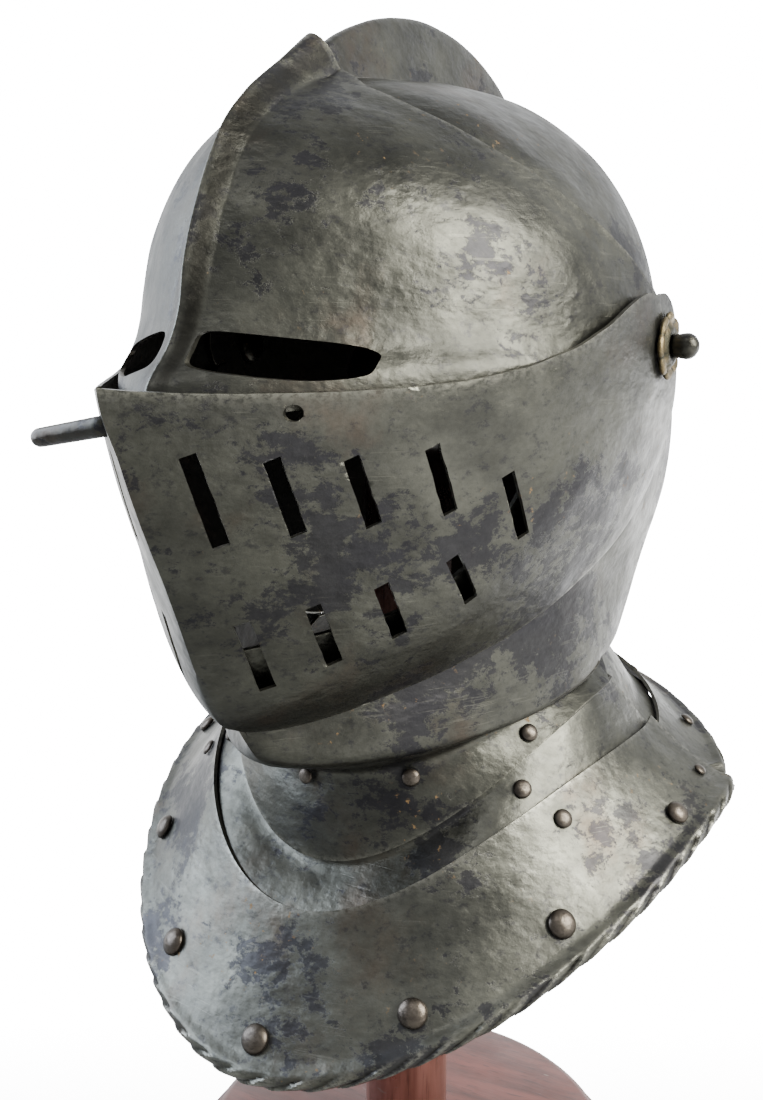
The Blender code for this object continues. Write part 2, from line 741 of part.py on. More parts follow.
rivets_along("front_rim_rivet", FRONT_MAIN, [
    Rivet(0, 0.85, 5.6, 3.4),
    Rivet(28, 0.80, 5.6, 3.4),
    Rivet(52, 0.80, 5.6, 3.4),
    Rivet(78, 0.81, 4.8, 3.0),
    Rivet(92, 0.74, 2.8, 1.6),
], bevor_hinge)
rivets_along("front_plate_rivet", FRONT_MAIN, [Rivet(58, 0.20, 3.8, 2.0)], bevor_hinge)
rivets_along("front_lame_rivet", FRONT_LAME[1:4], [Rivet(53, 0.50, 3.8, 2.0)], bevor_hinge)
rivets_along("rear_rim_rivet", REAR_MAIN, [
    Rivet(121, 0.80, 3.4, 2.0),
    Rivet(146, 0.80, 3.4, 2.0),
    Rivet(180, 0.80, 3.4, 2.0),
], skull_hinge)
rivets_along("bevor_rivet", BEVOR_FLANGE, [
    Rivet(-6, 0.12, 3.2, 1.6),
    Rivet(27, 0.17, 3.6, 2.0),
    Rivet(59, 0.50, 3.6, 2.0),
], bevor_hinge)

for side, suffix in ((1, "left"), (-1, "right")):
    pin = [(88.6, 7.0), (91.2, 7.6), (91.2, PIN_RADIUS), (108.0, PIN_RADIUS - 0.6), (109.4, 4.6),
           (112.0, 5.1), (114.6, 4.4), (116.9, 0)]
    make_turned("pivot_pin_" + suffix, pin, DARK_STEEL, skull_hinge, axis=(side, 0, 0), sides=10)
    rosette = [(104.2, 5.2), (104.2, 13.2), (105.4, 13.2), (106.8, 10.5), (107.0, 5.2), (104.2, 5.2)]
    make_turned("rosette_" + suffix, rosette, BRASS, skull_hinge, axis=(side, 0, 0), sides=16, lobes=8)

post = [(30.4, 18.6), (344, 18.4), (352, 24), (372, 26), (388, 22), (400, 18.4), (430, 18.6), (452, 24),
        (468, 29), (478, 27.5), (485, 19), (488.4, 0)]
make_turned("stand_post", post, WOOD, None, sides=16)
base = [(0, 97), (4, 101), (14, 102), (20, 98), (22, 93.5), (27, 92.5), (30, 88)]
make_turned("stand_base", base, WOOD, None, sides=28)
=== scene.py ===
import bmesh
import bpy
import random
from math import acos, cos, exp, pi, radians, sin
from mathutils import Matrix, Vector, noise


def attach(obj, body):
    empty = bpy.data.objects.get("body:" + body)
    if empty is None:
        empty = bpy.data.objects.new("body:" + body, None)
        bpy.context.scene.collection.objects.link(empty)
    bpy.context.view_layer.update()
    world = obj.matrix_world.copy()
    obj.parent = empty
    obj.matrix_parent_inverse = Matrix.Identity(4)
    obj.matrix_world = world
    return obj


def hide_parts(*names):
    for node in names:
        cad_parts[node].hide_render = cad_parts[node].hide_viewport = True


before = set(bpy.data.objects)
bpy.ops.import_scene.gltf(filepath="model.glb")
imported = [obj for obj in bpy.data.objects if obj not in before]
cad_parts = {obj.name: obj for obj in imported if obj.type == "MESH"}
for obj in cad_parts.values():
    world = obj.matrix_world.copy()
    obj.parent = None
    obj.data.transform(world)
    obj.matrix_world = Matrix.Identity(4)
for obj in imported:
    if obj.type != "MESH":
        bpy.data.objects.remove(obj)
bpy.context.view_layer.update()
print("frame loaded with", len(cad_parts), "solids")

mm = 0.001
pivot = Vector((0, 15, 388)) * mm  # middle of the cross axis through the temples
plateThickness = 1.6
edgeBreak = 0.3  # width of the broken edges


def put(thing, **settings):
    for name, value in settings.items():
        setattr(thing, name, value)
    return thing


def newObject(name, data, **settings):
    thing = put(bpy.data.objects.new(name, data), **settings)
    bpy.context.scene.collection.objects.link(thing)
    return thing


def facing(direction):
    return direction.to_track_quat("-Z", "Y").to_euler()


# Camera, low and close beside the wearer's left cheek
view = {"place": (0.2355, -0.4486, 0.390), "yaw": 29, "pitch": 9.891, "sensorHeight": 24, "lens": 26.18}
cameraData = put(bpy.data.cameras.new("photoView"), sensor_fit="VERTICAL", clip_start=0.01,
                 sensor_height=view["sensorHeight"], lens=view["lens"])
yaw, pitch = radians(view["yaw"]), radians(view["pitch"])
looksAlong = Vector((-sin(yaw) * cos(pitch), cos(yaw) * cos(pitch), -sin(pitch)))
bpy.context.scene.camera = newObject("photoView", cameraData, location=view["place"],
                                     rotation_euler=facing(looksAlong))
print("camera placed")


# Materials

def linearColour(hexText):
    channels = [int(hexText[i:i + 2], 16) / 255 for i in (1, 3, 5)]
    return [c / 12.92 if c <= 0.04045 else ((c + 0.055) / 1.055) ** 2.4 for c in channels] + [1]


def feed(node, inputs):
    # a socket is linked, and anything else is the value itself
    for name, value in inputs.items():
        if isinstance(value, bpy.types.NodeSocket):
            node.id_data.links.new(value, node.inputs[name])
        else:
            node.inputs[name].default_value = value


def addNode(kind, output, inputs, tree=None, **settings):
    # without a tree, the node goes where the sockets that feed it are
    if not tree:
        tree = next(value.id_data for value in inputs.values() if isinstance(value, bpy.types.NodeSocket))
    node = put(tree.nodes.new(kind), **settings)
    feed(node, inputs)
    return node.outputs[output]


def newFinish(name):
    finish = bpy.data.materials.new(name)
    finish.use_nodes = True
    return finish, finish.node_tree, finish.node_tree.nodes["Principled BSDF"]


def stretched(where, scale, turn=(0, 0, 0)):
    return addNode("ShaderNodeMapping", "Vector", {
        "Vector": where, "Scale": scale, "Rotation": [radians(angle) for angle in turn]})


def cloud(where, size, detail, roughness, distortion=0.0):
    # size is that of one blot, in millimetres
    return addNode("ShaderNodeTexNoise", "Fac", {
        "Vector": where, "Scale": 1000 / size, "Detail": detail, "Roughness": roughness,
        "Distortion": distortion})


def between(value, low, high, bottom=0.0, top=1.0):
    return addNode("ShaderNodeMapRange", "Result", {
        "Value": value, "From Min": low, "From Max": high, "To Min": bottom, "To Max": top},
        interpolation_type="SMOOTHSTEP")


def worked(operation, a, b):
    return addNode("ShaderNodeMath", "Value", {0: a, 1: b}, operation=operation)


def times(a, b):
    return worked("MULTIPLY", a, b)


def plus(a, b):
    return worked("ADD", a, b)


def blended(amount, a, b, kind="MIX"):
    a, b = (linearColour(colour) if isinstance(colour, str) else colour for colour in (a, b))
    return addNode("ShaderNodeMix", 2, {0: amount, 6: a, 7: b}, data_type="RGBA", blend_type=kind)


def placeIn(tree, kind="Object"):
    return addNode("ShaderNodeTexCoord", kind, {}, tree)


def wearAndShadeIn(tree):
    return addNode("ShaderNodeAttribute", "Fac", {}, tree, attribute_name="wearAndShade")


def howFar(where, direction):
    return addNode("ShaderNodeVectorMath", "Value", {0: where, 1: direction}, operation="DOT_PRODUCT")


def asSeen(lit, shown):
    # one strength for the light that falls on the helmet, another for what the camera sees
    seen = addNode("ShaderNodeLightPath", "Is Camera Ray", {}, lit.id_data)
    return addNode("ShaderNodeMix", 0, {0: seen, 2: lit, 3: shown})


def bumped(relief, strength, height):
    # height is how far the relief stands out, in millimetres
    return addNode("ShaderNodeBump", "Normal", {
        "Height": relief, "Strength": strength, "Distance": height * mm})


# Blackened steel, hammered to shape by hand and long handled: an olive grey skin over cloudy blue black
# scale, russet bloom, gold rust specks, hair scratches and bare bright edges.
steelLook = {
    "skin": "#373733", "pale": "#494943", "scale": "#1f1e25", "russet": "#46362c", "rust": "#6b5230",
    # the second colour below is painted shade, for the keel's flanks and the grooves of the roped rim
    "bare": "#6a6960", "paintedShade": "#171613", "roughness": 0.37, "metallic": 0.9,
    "blotSize": 8, "zoneSize": 50, "peelSize": 3.4, "dentSize": 9, "gritSize": 0.9,
}


def makeSteel(name, look, readsWearAndShade=True, patchShare=0.5):
    finish, tree, shader = newFinish(name)
    where = placeIn(tree)
    drifting = stretched(where, (0.8, 0.8, 1.2), (0, 12, 0))
    zones = cloud(where, look["zoneSize"], 2, 0.45)
    blots = cloud(drifting, look["blotSize"], 14, 0.76, 0.2)
    mixedBlots = plus(blots, times(zones, 1.1))
    edgeOfBlots = 1.18 - 0.16 * patchShare
    scale = between(mixedBlots, edgeOfBlots, edgeOfBlots + 0.06)
    softTone = cloud(stretched(where, (1, 1, 1.6)), 38, 6, 0.62)
    colour = blended(between(softTone, 0.36, 0.68), look["skin"], look["pale"])
    bloom = cloud(stretched(where, (1.1, 0.9, 0.8), (20, 0, 30)), 54, 6, 0.65)
    bloom = between(bloom, 0.52, 0.72, 0, 0.45)
    colour = blended(bloom, colour, look["russet"])
    freckles = between(cloud(drifting, 4.5, 10, 0.75), 0.53, 0.65, 0, 0.5)
    darkened = worked("MAXIMUM", times(scale, 0.72), freckles)
    colour = blended(darkened, colour, look["scale"])
    speckZone = between(cloud(where, 40, 3, 0.5), 0.56, 0.66)
    specks = between(cloud(where, 3.4, 5, 0.65), 0.63, 0.70)
    rust = times(specks, speckZone)
    colour = blended(rust, colour, look["rust"])
    fineGrain = cloud(stretched(where, (0.8, 0.8, 1.25), (8, 0, 0)), 2.0, 5, 0.7)
    colour = blended(0.35, colour, between(fineGrain, 0.2, 0.8, 0.32, 0.70), "OVERLAY")
    scratchZone = between(cloud(where, 30, 2, 0.5), 0.50, 0.62)
    falling = cloud(stretched(where, (0.04, 0.04, 1.0), (0, 24, 40)), 1.0, 2, 0.5)
    rising = cloud(stretched(where, (0.04, 0.04, 1.0), (0, -38, 25)), 1.0, 2, 0.5)
    falling, rising = between(falling, 0.65, 0.68), between(rising, 0.66, 0.69)
    scratches = times(worked("MAXIMUM", falling, rising), scratchZone)
    colour = blended(times(scratches, 0.18), colour, look["bare"])
    roughness = between(cloud(where, 18, 6, 0.62), 0.3, 0.7, look["roughness"] - 0.08,
                        look["roughness"] + 0.08)
    roughness = plus(plus(roughness, times(scale, 0.05)), times(rust, 0.3))
    if readsWearAndShade:
        wornAndShaded = wearAndShadeIn(tree)
        rubbing = times(wornAndShaded, between(fineGrain, 0.35, 0.6))
        colour = blended(rubbing, colour, look["bare"])
        # below nought the same attribute is painted shade: in the grooves of the roped rim and on
        # the flanks of the keel
        colour = blended(between(wornAndShaded, -0.75, -0.1, 0.85, 0), colour, look["paintedShade"])
        roughness = plus(roughness, times(rubbing, -0.10))
    metal = plus(times(rust, -0.6), look["metallic"])
    dents = cloud(stretched(where, (0.8, 0.8, 1.3)), look["dentSize"], 2, 0.5)
    peel = cloud(stretched(where, (0.8, 0.8, 1.2), (0, 6, 0)), look["peelSize"], 3, 0.55)
    grit = cloud(where, look["gritSize"], 2, 0.6)
    relief = plus(plus(times(dents, 1.7), times(peel, 0.55)), times(grit, 0.10))
    relief = plus(relief, times(plus(scale, scratches), -0.05))
    feed(shader, {"Base Color": colour, "Roughness": roughness, "Metallic": metal,
                  "Normal": bumped(relief, 0.6, 0.6)})
    return finish


steel = makeSteel("blackenedHammeredSteel", steelLook)
gorgetSteel = makeSteel("brighterHandledSteel", dict(
    steelLook, skin="#474742", pale="#5b5b54", scale="#26252c", russet="#504134", bare="#7b7a72"),
    patchShare=0.6)
scaledSteel = makeSteel("scaledSteel", dict(
    steelLook, skin="#2e2d2a", pale="#383731", bare="#4b4a43"), patchShare=0.9)
# inside the plates a dull forge brown finish, darkened further as painted shade
shadedInsideLook = dict(steelLook, skin="#161510", pale="#1c1a15", scale="#11100e", roughness=0.75, metallic=0.3)
shadedInsideSteel = makeSteel("forgeBrownShadedSteelInside", shadedInsideLook, readsWearAndShade=False)
# the ventail's inside is a lighter copy of the inside finish: painted light on its inner wall
litVentailInside = makeSteel("litGreySteelInside", dict(
    shadedInsideLook, skin="#3a3a33", pale="#48483f", scale="#25241f", roughness=0.5, metallic=0.6), readsWearAndShade=False)
edgeSteel = makeSteel("rubbedSteelEdge", dict(
    steelLook, skin="#57564f", pale="#6d6b63", scale="#403f3c", roughness=0.33, metallic=0.95),
    readsWearAndShade=False, patchShare=0.1)
rivetSteel = makeSteel("brownedRivetSteel", dict(
    steelLook, skin="#403b36", pale="#504942", scale="#2d2926", russet="#45382e", bare="#7a736a",
    roughness=0.36, blotSize=6, zoneSize=20), patchShare=0.2)
print("steel finishes made")


def makeBrass():
    # Cast brass left to tarnish: dull gold on the high spots, green brown dirt in the hollows.
    look = {"gold": "#75674a", "dull": "#4c4536", "dirt": "#262720", "roughness": 0.44, "metallic": 0.85}
    finish, tree, shader = newFinish("tarnishedCastBrass")
    where = placeIn(tree)
    mottle = cloud(where, 5, 6, 0.65)
    colour = blended(between(mottle, 0.35, 0.65), look["dull"], look["gold"])
    colour = blended(between(wearAndShadeIn(tree), 0.25, 0.7, 0.9, 0), colour, look["dirt"])
    roughness = between(mottle, 0.3, 0.7, look["roughness"] + 0.15, look["roughness"] - 0.08)
    feed(shader, {"Base Color": colour, "Roughness": roughness, "Metallic": look["metallic"],
                  "Normal": bumped(cloud(where, 1.6, 4, 0.65), 0.8, 0.5)})
    return finish


# What post and base have in common; between two heights, in metres, painted shade turns the post near black
woodLook = {"nick": "#7d6d66", "insideShade": "#0e0b09", "insideShadeFrom": 0.25, "insideShadeTo": 0.32, "coat": 0.5,
            "coatRoughness": 0.16, "refraction": 1.5}


def makeMahogany(name, look, lie):
    # Turned and varnished mahogany: red brown, with long dark pores under a clear, slightly dusty coat.
    finish, tree, shader = newFinish(name)
    where = placeIn(tree)
    along = stretched(where, lie)
    bands = cloud(along, 9, 6, 0.6, 0.6)
    pores = cloud(stretched(along, (1, 1, 0.35)), 1.3, 3, 0.6)  # real pores are finer
    colour = blended(between(bands, 0.32, 0.68), look["dark"], look["light"])
    colour = blended(between(pores, 0.56, 0.68, 0, 0.6), colour, look["pore"])
    dust = between(cloud(where, 30, 6, 0.65), 0.45, 0.75, 0, look["dustAmount"])
    colour = blended(dust, colour, look["dust"])
    nicks = between(cloud(stretched(where, (0.3, 1, 1)), 3.2, 2, 0.5), 0.71, 0.74, 0, 0.6)
    colour = blended(nicks, colour, look["nick"])
    # painted shade: the post goes near black where it stands inside the helmet
    height = addNode("ShaderNodeSeparateXYZ", "Z", {"Vector": where})
    insideShaded = between(height, look["insideShadeFrom"], look["insideShadeTo"], 0, 0.93)
    colour = blended(insideShaded, colour, look["insideShade"])
    roughness = between(cloud(where, 24, 5, 0.6), 0.3, 0.7, look["roughness"] - 0.08,
                        look["roughness"] + 0.12)
    feed(shader, {"Base Color": colour, "Roughness": roughness, "Coat Weight": look["coat"],
                  "Coat Roughness": look["coatRoughness"], "IOR": look["refraction"],
                  "Normal": bumped(pores, 0.25, 0.3)})
    return finish


brass = makeBrass()
postWood = makeMahogany("varnishedMahoganyPost", dict(
    woodLook, dark="#6c4238", light="#9a6a60", pore="#41251e", dust="#86655a", dustAmount=0.2,
    roughness=0.34), (1, 1, 0.12))
baseWood = makeMahogany("dustyMahoganyBase", dict(
    woodLook, dark="#472018", light="#68352c", pore="#2a110d", dust="#694139", dustAmount=0.3,
    roughness=0.42), (0.12, 1, 1))
print("brass and wood finishes made")


# Curves and shapes that the plates share

def straightThrough(rows, column, where):
    i = max([k for k in range(len(rows) - 1) if rows[k][0] <= where], default=0)
    share = (where - rows[i][0]) / (rows[i + 1][0] - rows[i][0])
    return rows[i][column] + (rows[i + 1][column] - rows[i][column]) * share


def softLine(rows, column, where):
    # straight lines whose corners are eased over a few degrees
    spots = [min(max(where + step, rows[0][0]), rows[-1][0]) for step in (-1.6, -0.8, 0, 0.8, 1.6)]
    return sum(straightThrough(rows, column, spot) for spot in spots) / len(spots)


def bend(a, b, startSlope, endSlope, t):
    # a smooth curve from a to b as t goes from 0 to 1
    return ((2 * t**3 - 3 * t**2 + 1) * a + (t**3 - 2 * t**2 + t) * startSlope
            + (3 * t**2 - 2 * t**3) * b + (t**3 - t**2) * endSlope)


def curveThrough(rows, column, where):
    # a smooth curve through one column of a table, straight beyond its ends
    last = len(rows) - 1

    def slope(i):
        before, after = max(i - 1, 0), min(i + 1, last)
        return (rows[after][column] - rows[before][column]) / (rows[after][0] - rows[before][0])
    if where <= rows[0][0]:
        return rows[0][column] + (where - rows[0][0]) * slope(0)
    if where >= rows[last][0]:
        return rows[last][column] + (where - rows[last][0]) * slope(last)
    i = max(k for k in range(last) if rows[k][0] <= where)
    span = rows[i + 1][0] - rows[i][0]
    return bend(rows[i][column], rows[i + 1][column], span * slope(i), span * slope(i + 1),
                (where - rows[i][0]) / span)


def through(spots, reach):
    # a smooth curve through spots; reach is 0 at the first and 1 more at each one after it
    i = min(int(reach), len(spots) - 2)
    a, b = spots[max(i - 1, 0)], spots[i]
    c, d = spots[i + 1], spots[min(i + 2, len(spots) - 1)]
    startSlope = (c - a) * (0.5 if i > 0 else 1)
    endSlope = (d - b) * (0.5 if i + 2 < len(spots) else 1)
    return bend(b, c, startSlope, endSlope, reach - i)


def evenly(first, last, step, samples, spotAt):
    # values from first to last whose spots lie about one step apart
    values, travelled, before = [first], 0.0, spotAt(first)
    for k in range(1, samples + 1):
        value = first + (last - first) * k / samples
        here = spotAt(value)
        travelled += (here - before).length
        before = here
        if travelled >= step:
            values.append(value)
            travelled = 0.0
    values[-1] = last
    return values


def signedPower(value, power):
    return abs(value) ** power * (1 if value >= 0 else -1)


def polar(x, reach, angle):
    return Vector((x, -reach * cos(radians(angle)), reach * sin(radians(angle))))


def shellPoint(shape, angle, across):
    # a point of a plate on the wearer's left, in millimetres from the pivot
    sections = shape["sections"]
    x = shape["halfWidth"] * max(cos(radians(across)), 0) ** curveThrough(sections, 2, angle)
    swell = sin(radians(across)) ** curveThrough(sections, 3, angle)
    return polar(x, curveThrough(sections, 1, angle) * swell, angle)


def reachBeside(shape, angle, x):
    sections = shape["sections"]
    across = acos((x / shape["halfWidth"]) ** (1 / curveThrough(sections, 2, angle)))
    return curveThrough(sections, 1, angle) * sin(across) ** curveThrough(sections, 3, angle)


def evenStations(shape, first, last, step):
    # angles across the plate, about one step in millimetres apart
    middle = (shape["edge"][-1][1] + shape["edge"][-1][2]) / 2
    return evenly(first, last, step, 600, lambda across: shellPoint(shape, middle, across))


def gridOf(columns, rows, place):
    # a grid whose points go where place says, given their column and row
    bm = bmesh.new()
    bmesh.ops.create_grid(bm, x_segments=columns, y_segments=rows, size=0.5)
    # the attribute holds wear, and below nought painted shade
    wearAndShade = bm.verts.layers.float.new("wearAndShade")
    for vert in bm.verts:
        spot, rubAndShade = place(round((vert.co.x + 0.5) * columns), round((vert.co.y + 0.5) * rows))
        vert.co = pivot + spot * mm
        vert[wearAndShade] = rubAndShade
    return bm


def join(bm, other):
    spare = bpy.data.meshes.new("spare")
    other.to_mesh(spare)
    other.free()
    bm.from_mesh(spare)
    bpy.data.meshes.remove(spare)


def turnOutward(bm, middle):
    bmesh.ops.remove_doubles(bm, verts=bm.verts, dist=0.00002)
    bmesh.ops.recalc_face_normals(bm, faces=bm.faces)
    if sum(face.normal.dot(face.calc_center_median() - middle) * face.calc_area() for face in bm.faces) < 0:
        bmesh.ops.reverse_faces(bm, faces=bm.faces)


def hammerOut(bm, depth, size, seed):
    # shallow dents left by planishing; depth and size in millimetres
    bm.normal_update()
    shift = Vector((seed * 7.3, seed * 3.1, seed * 5.7))
    for vert in bm.verts:
        broad = noise.noise(vert.co / (size * mm) + shift)
        tight = noise.noise(vert.co / (size * 0.3 * mm) - shift)
        vert.co += vert.normal * (broad + 0.28 * tight - 0.6) * depth * mm


def objectFrom(bm, name, finishes):
    mesh = bpy.data.meshes.new(name)
    bm.to_mesh(mesh)
    bm.free()
    for finish in finishes:
        mesh.materials.append(finish)
    return newObject(name, mesh)


def edgeRub(fromEdge, most, width):
    # how bright a plate is near its edge; distances in millimetres
    return most * exp(-fromEdge / width)


def finishPiece(bm, name, body, finishes, replaced):
    piece = objectFrom(bm, name, finishes)
    for face in piece.data.polygons:
        face.use_smooth = True
    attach(piece, body)
    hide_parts(*replaced)
    return piece


def makePlate(bm, dents, name, body, solid, outside=steel, inside=shadedInsideSteel, even=True):
    # dents are the depth, size and seed of the hammering
    hammerOut(bm, *dents)
    piece = finishPiece(bm, name, body, [outside, inside, edgeSteel], [solid])
    put(piece.modifiers.new("plate", "SOLIDIFY"), thickness=plateThickness * mm, offset=-1,
        use_even_offset=even, material_offset=1, material_offset_rim=2)
    return piece


def breakEdges(piece):
    put(piece.modifiers.new("broken edges", "BEVEL"), width=edgeBreak * mm, segments=2,
        limit_method="ANGLE", angle_limit=radians(50), material=2, use_clamp_overlap=True)
    put(piece.modifiers.new("even shading", "WEIGHTED_NORMAL"), keep_sharp=True)


# Arms end in round discs with a bore at the pivot, as angles across; rows of the strip that closes a
# disc behind the pivot
armDisc = {"bore": 2.0, "edge": 5.5, "rows": 40, "rubAndShade": 0.2}


def limitsAt(shape, across):
    # the lowest and highest angle of a plate, whose arm ends in a round disc
    edge = shape["edge"]
    if across <= armDisc["edge"]:
        return edge[0][1], edge[0][2]
    return softLine(edge, 1, across), softLine(edge, 2, across)


def crestRow(shape, crest, fold, angle):
    base = reachBeside(shape, angle, crest["profile"][0][0])
    top = max(curveThrough(crest["line"], 1, angle), base + 1.2)
    narrow, wide, rise = fold
    first, last = 41, 48  # where a keel widens to meet the skull
    widened = min(max((angle - first) / (last - first), 0), 1)
    return polar(narrow + (wide - narrow) * widened, base + (top - base) * rise, angle)


def facePlate(shape, columnStep, rowStep, crest=None):
    # both halves of a plate with round arm ends at the temples
    edge = shape["edge"]
    lastAcross = crest["skinEnds"] if crest else 90
    arm = evenStations(shape, armDisc["bore"], armDisc["edge"], columnStep)
    stations = arm + evenStations(shape, armDisc["edge"], lastAcross, columnStep)[1:]
    half = [("skin", across) for across in stations]
    if crest:
        half += [("beside", share) for share in (0.2, 0.4, 0.6, 0.8)]
        half += [("crest", row) for row in crest["profile"]]
    columns = 2 * (len(half) - 1)
    rows = max(24, round(shape["rowLength"] / rowStep))

    def spotOn(kind, value, share):
        if kind == "skin":
            low, high = limitsAt(shape, value)
            return shellPoint(shape, low + (high - low) * share, value)
        if kind == "beside":
            across = lastAcross + (edge[-1][0] - lastAcross) * value
            low, high = limitsAt(shape, across)
            angle = low + (high - low) * share
            skinEnd = shellPoint(shape, angle, lastAcross).x
            x = skinEnd + (crest["profile"][0][0] - skinEnd) * value
            return polar(x, reachBeside(shape, angle, x), angle)
        angle = edge[-1][1] + (edge[-1][2] - edge[-1][1]) * share
        return crestRow(shape, crest, value, angle)

    lengths = []
    for kind, value in half:
        low, mid, high = (spotOn(kind, value, share) for share in (0.02, 0.5, 0.98))
        lengths.append((mid - low).length + (high - mid).length)

    def place(column, row):
        side = 1 if column < len(half) else -1
        index = column if side > 0 else columns - column
        kind, value = half[index]
        spot = spotOn(kind, value, row / rows)
        spot.x *= side
        fromEdge = min(row, rows - row) / rows * lengths[index]
        rubAndShade = edgeRub(fromEdge, 0.85, 1.7)
        if kind == "crest":
            # worn bright along the top; the flanks of the sharp stretch darkened as painted shade
            paintedShade = crest["paintedShade"] * min(1, 4 * value[2] * (1 - value[2])) * min(1, row / rows / 0.1)
            rubAndShade = max(rubAndShade, crest["wearAndShade"] * value[2] ** 40) - (paintedShade if rubAndShade < 0.1 and value[2] < 0.99 else 0)
        return spot, rubAndShade

    bm = gridOf(columns, rows, place)
    low, high = limitsAt(shape, armDisc["edge"])
    if high - low < 359:
        for side in (1, -1):
            def placeArm(column, row, side=side):
                across = arm[column]
                lowEnd, highEnd = (shellPoint(shape, angle, across) for angle in (low, high))
                share = row / armDisc["rows"]
                reach = highEnd.yz.length + (lowEnd.yz.length - highEnd.yz.length) * share
                x = highEnd.x + (lowEnd.x - highEnd.x) * share
                return polar(side * x, reach, high + (low + 360 - high) * share), armDisc["rubAndShade"]
            join(bm, gridOf(len(arm) - 1, armDisc["rows"], placeArm))
    turnOutward(bm, pivot)
    return bm


# Skull, with its comb
skullShape = {
    "halfWidth": 94.4, "rowLength": 330,
    # angle above straight ahead, reach from the cross axis, sharpness, swell
    "sections": [
        (-20, 160, 1.70, 0.95), (0, 145, 1.60, 0.95), (20, 132, 1.30, 0.95), (38, 124, 1.08, 0.95),
        (50, 121, 1.08, 0.95), (66, 109, 1.03, 0.95), (83, 104, 1.00, 0.93), (99, 106, 1.05, 0.93),
        (124, 112, 1.10, 0.95), (150, 116, 1.10, 0.95), (180, 119, 1.10, 0.95), (205, 126, 1.08, 0.95),
        (221, 140, 1.00, 0.95), (232, 154, 0.95, 0.95), (245, 166, 0.95, 0.95), (262, 178, 1.20, 0.95),
        (277, 186, 1.68, 0.95), (285, 190, 1.94, 0.95), (300, 184, 1.86, 0.95), (320, 171, 1.75, 0.95),
        (340, 160, 1.70, 0.95)],
    # angle across from the temple to the middle, lowest angle, highest angle
    "edge": [
        (5.5, -20, 340), (10, -20, 340), (14, 20, 320), (19, 36, 300), (26, 40, 290), (33, 40, 284),
        (39, 40, 277), (45, 39, 262), (55, 39, 245), (70, 38, 236), (90, 38, 232)],
}
comb = {
    "line": [
        (30, 126), (38, 127), (44, 131), (50, 133.5), (65, 130.5), (78, 129), (91, 129.5), (103, 131.5),
        (117, 135), (128, 137.5), (142, 138), (158, 135.5), (174, 132), (190, 130), (208, 133),
        (221, 144), (232, 157)],
    "skinEnds": 80, "wearAndShade": 0.3, "paintedShade": 0.0,
    # half width of the ridge, the same once it has widened, share of its height
    "profile": [(5.6, 5.6, 0.0), (5.0, 5.0, 0.10), (4.5, 4.5, 0.30), (3.9, 3.9, 0.54), (3.3, 3.3, 0.75),
                (2.7, 2.7, 0.90), (1.9, 1.9, 0.965), (1.0, 1.0, 0.993), (0, 0, 1.0)],
}
skull = facePlate(skullShape, 2.4, 2.4, comb)
breakEdges(makePlate(skull, (0.30, 26, 1), "skullPlate", "skull_and_stand", "skull"))
print("skull made")

# Visor, with its keel and the two eye slits
visorShape = {
    "halfWidth": 100.6, "rowLength": 150,
    "sections": [
        (-60, 170, 2.00, 0.90), (-20, 188, 2.05, 0.90), (-10, 187, 1.95, 0.90), (-4, 184, 1.85, 0.90),
        (0, 172, 1.80, 0.90), (4, 166, 1.78, 0.90), (10, 162, 1.72, 0.90), (18, 158, 1.62, 0.90),
        (26, 153, 1.58, 0.90), (34, 144, 1.50, 0.91), (42, 134, 1.42, 0.92), (50, 127, 1.35, 0.92),
        (85, 122, 1.00, 0.94), (110, 172, 1.00, 0.92)],
    "edge": [
        (5.5, -60, 105), (9, -28, 78), (14, -14, 62), (20, -8, 53), (30, -7, 47), (45, -7, 44),
        (60, -7, 44), (74, -7, 46), (84, -7, 49), (90, -7, 50)],
}
keel = {
    "line": [
        (-10, 186.5), (-4, 184), (0, 173), (4, 167.5), (9, 166), (15, 163.5), (22, 160.5), (27, 158),
        (32, 153.5), (40, 145.8), (46, 142), (50, 140.3)],
    # the last value darkens the keel's flanks as painted shade
    "skinEnds": 70, "wearAndShade": 0.8, "paintedShade": 0.75,
    "profile": [(6.8, 6.8, 0.0), (6.1, 6.7, 0.08), (5.0, 6.4, 0.26), (3.8, 6.0, 0.46), (2.6, 5.2, 0.66),
                (1.5, 3.9, 0.84), (0.7, 2.2, 0.95), (0.3, 1.0, 0.988), (0, 0, 1.0)],
}
eyeSlit = {
    # the cutter starts inside the plate and ends outside, as shares of its reach
    "ends": (46.3, 78.0), "roundness": 5.5, "points": 72, "cutFrom": 0.94, "cutBy": 1.12,
    # angle across, lowest angle, highest angle
    "edge": [
        (46.3, -4.0, -0.5), (49.2, -4.0, 0.1), (53.0, -3.9, 0.55), (58.7, -3.5, 1.0), (65.0, -2.9, 1.4),
        (72.0, -2.3, 1.75), (75.5, -2.1, 1.85), (78.0, -2.0, 1.85)],
}


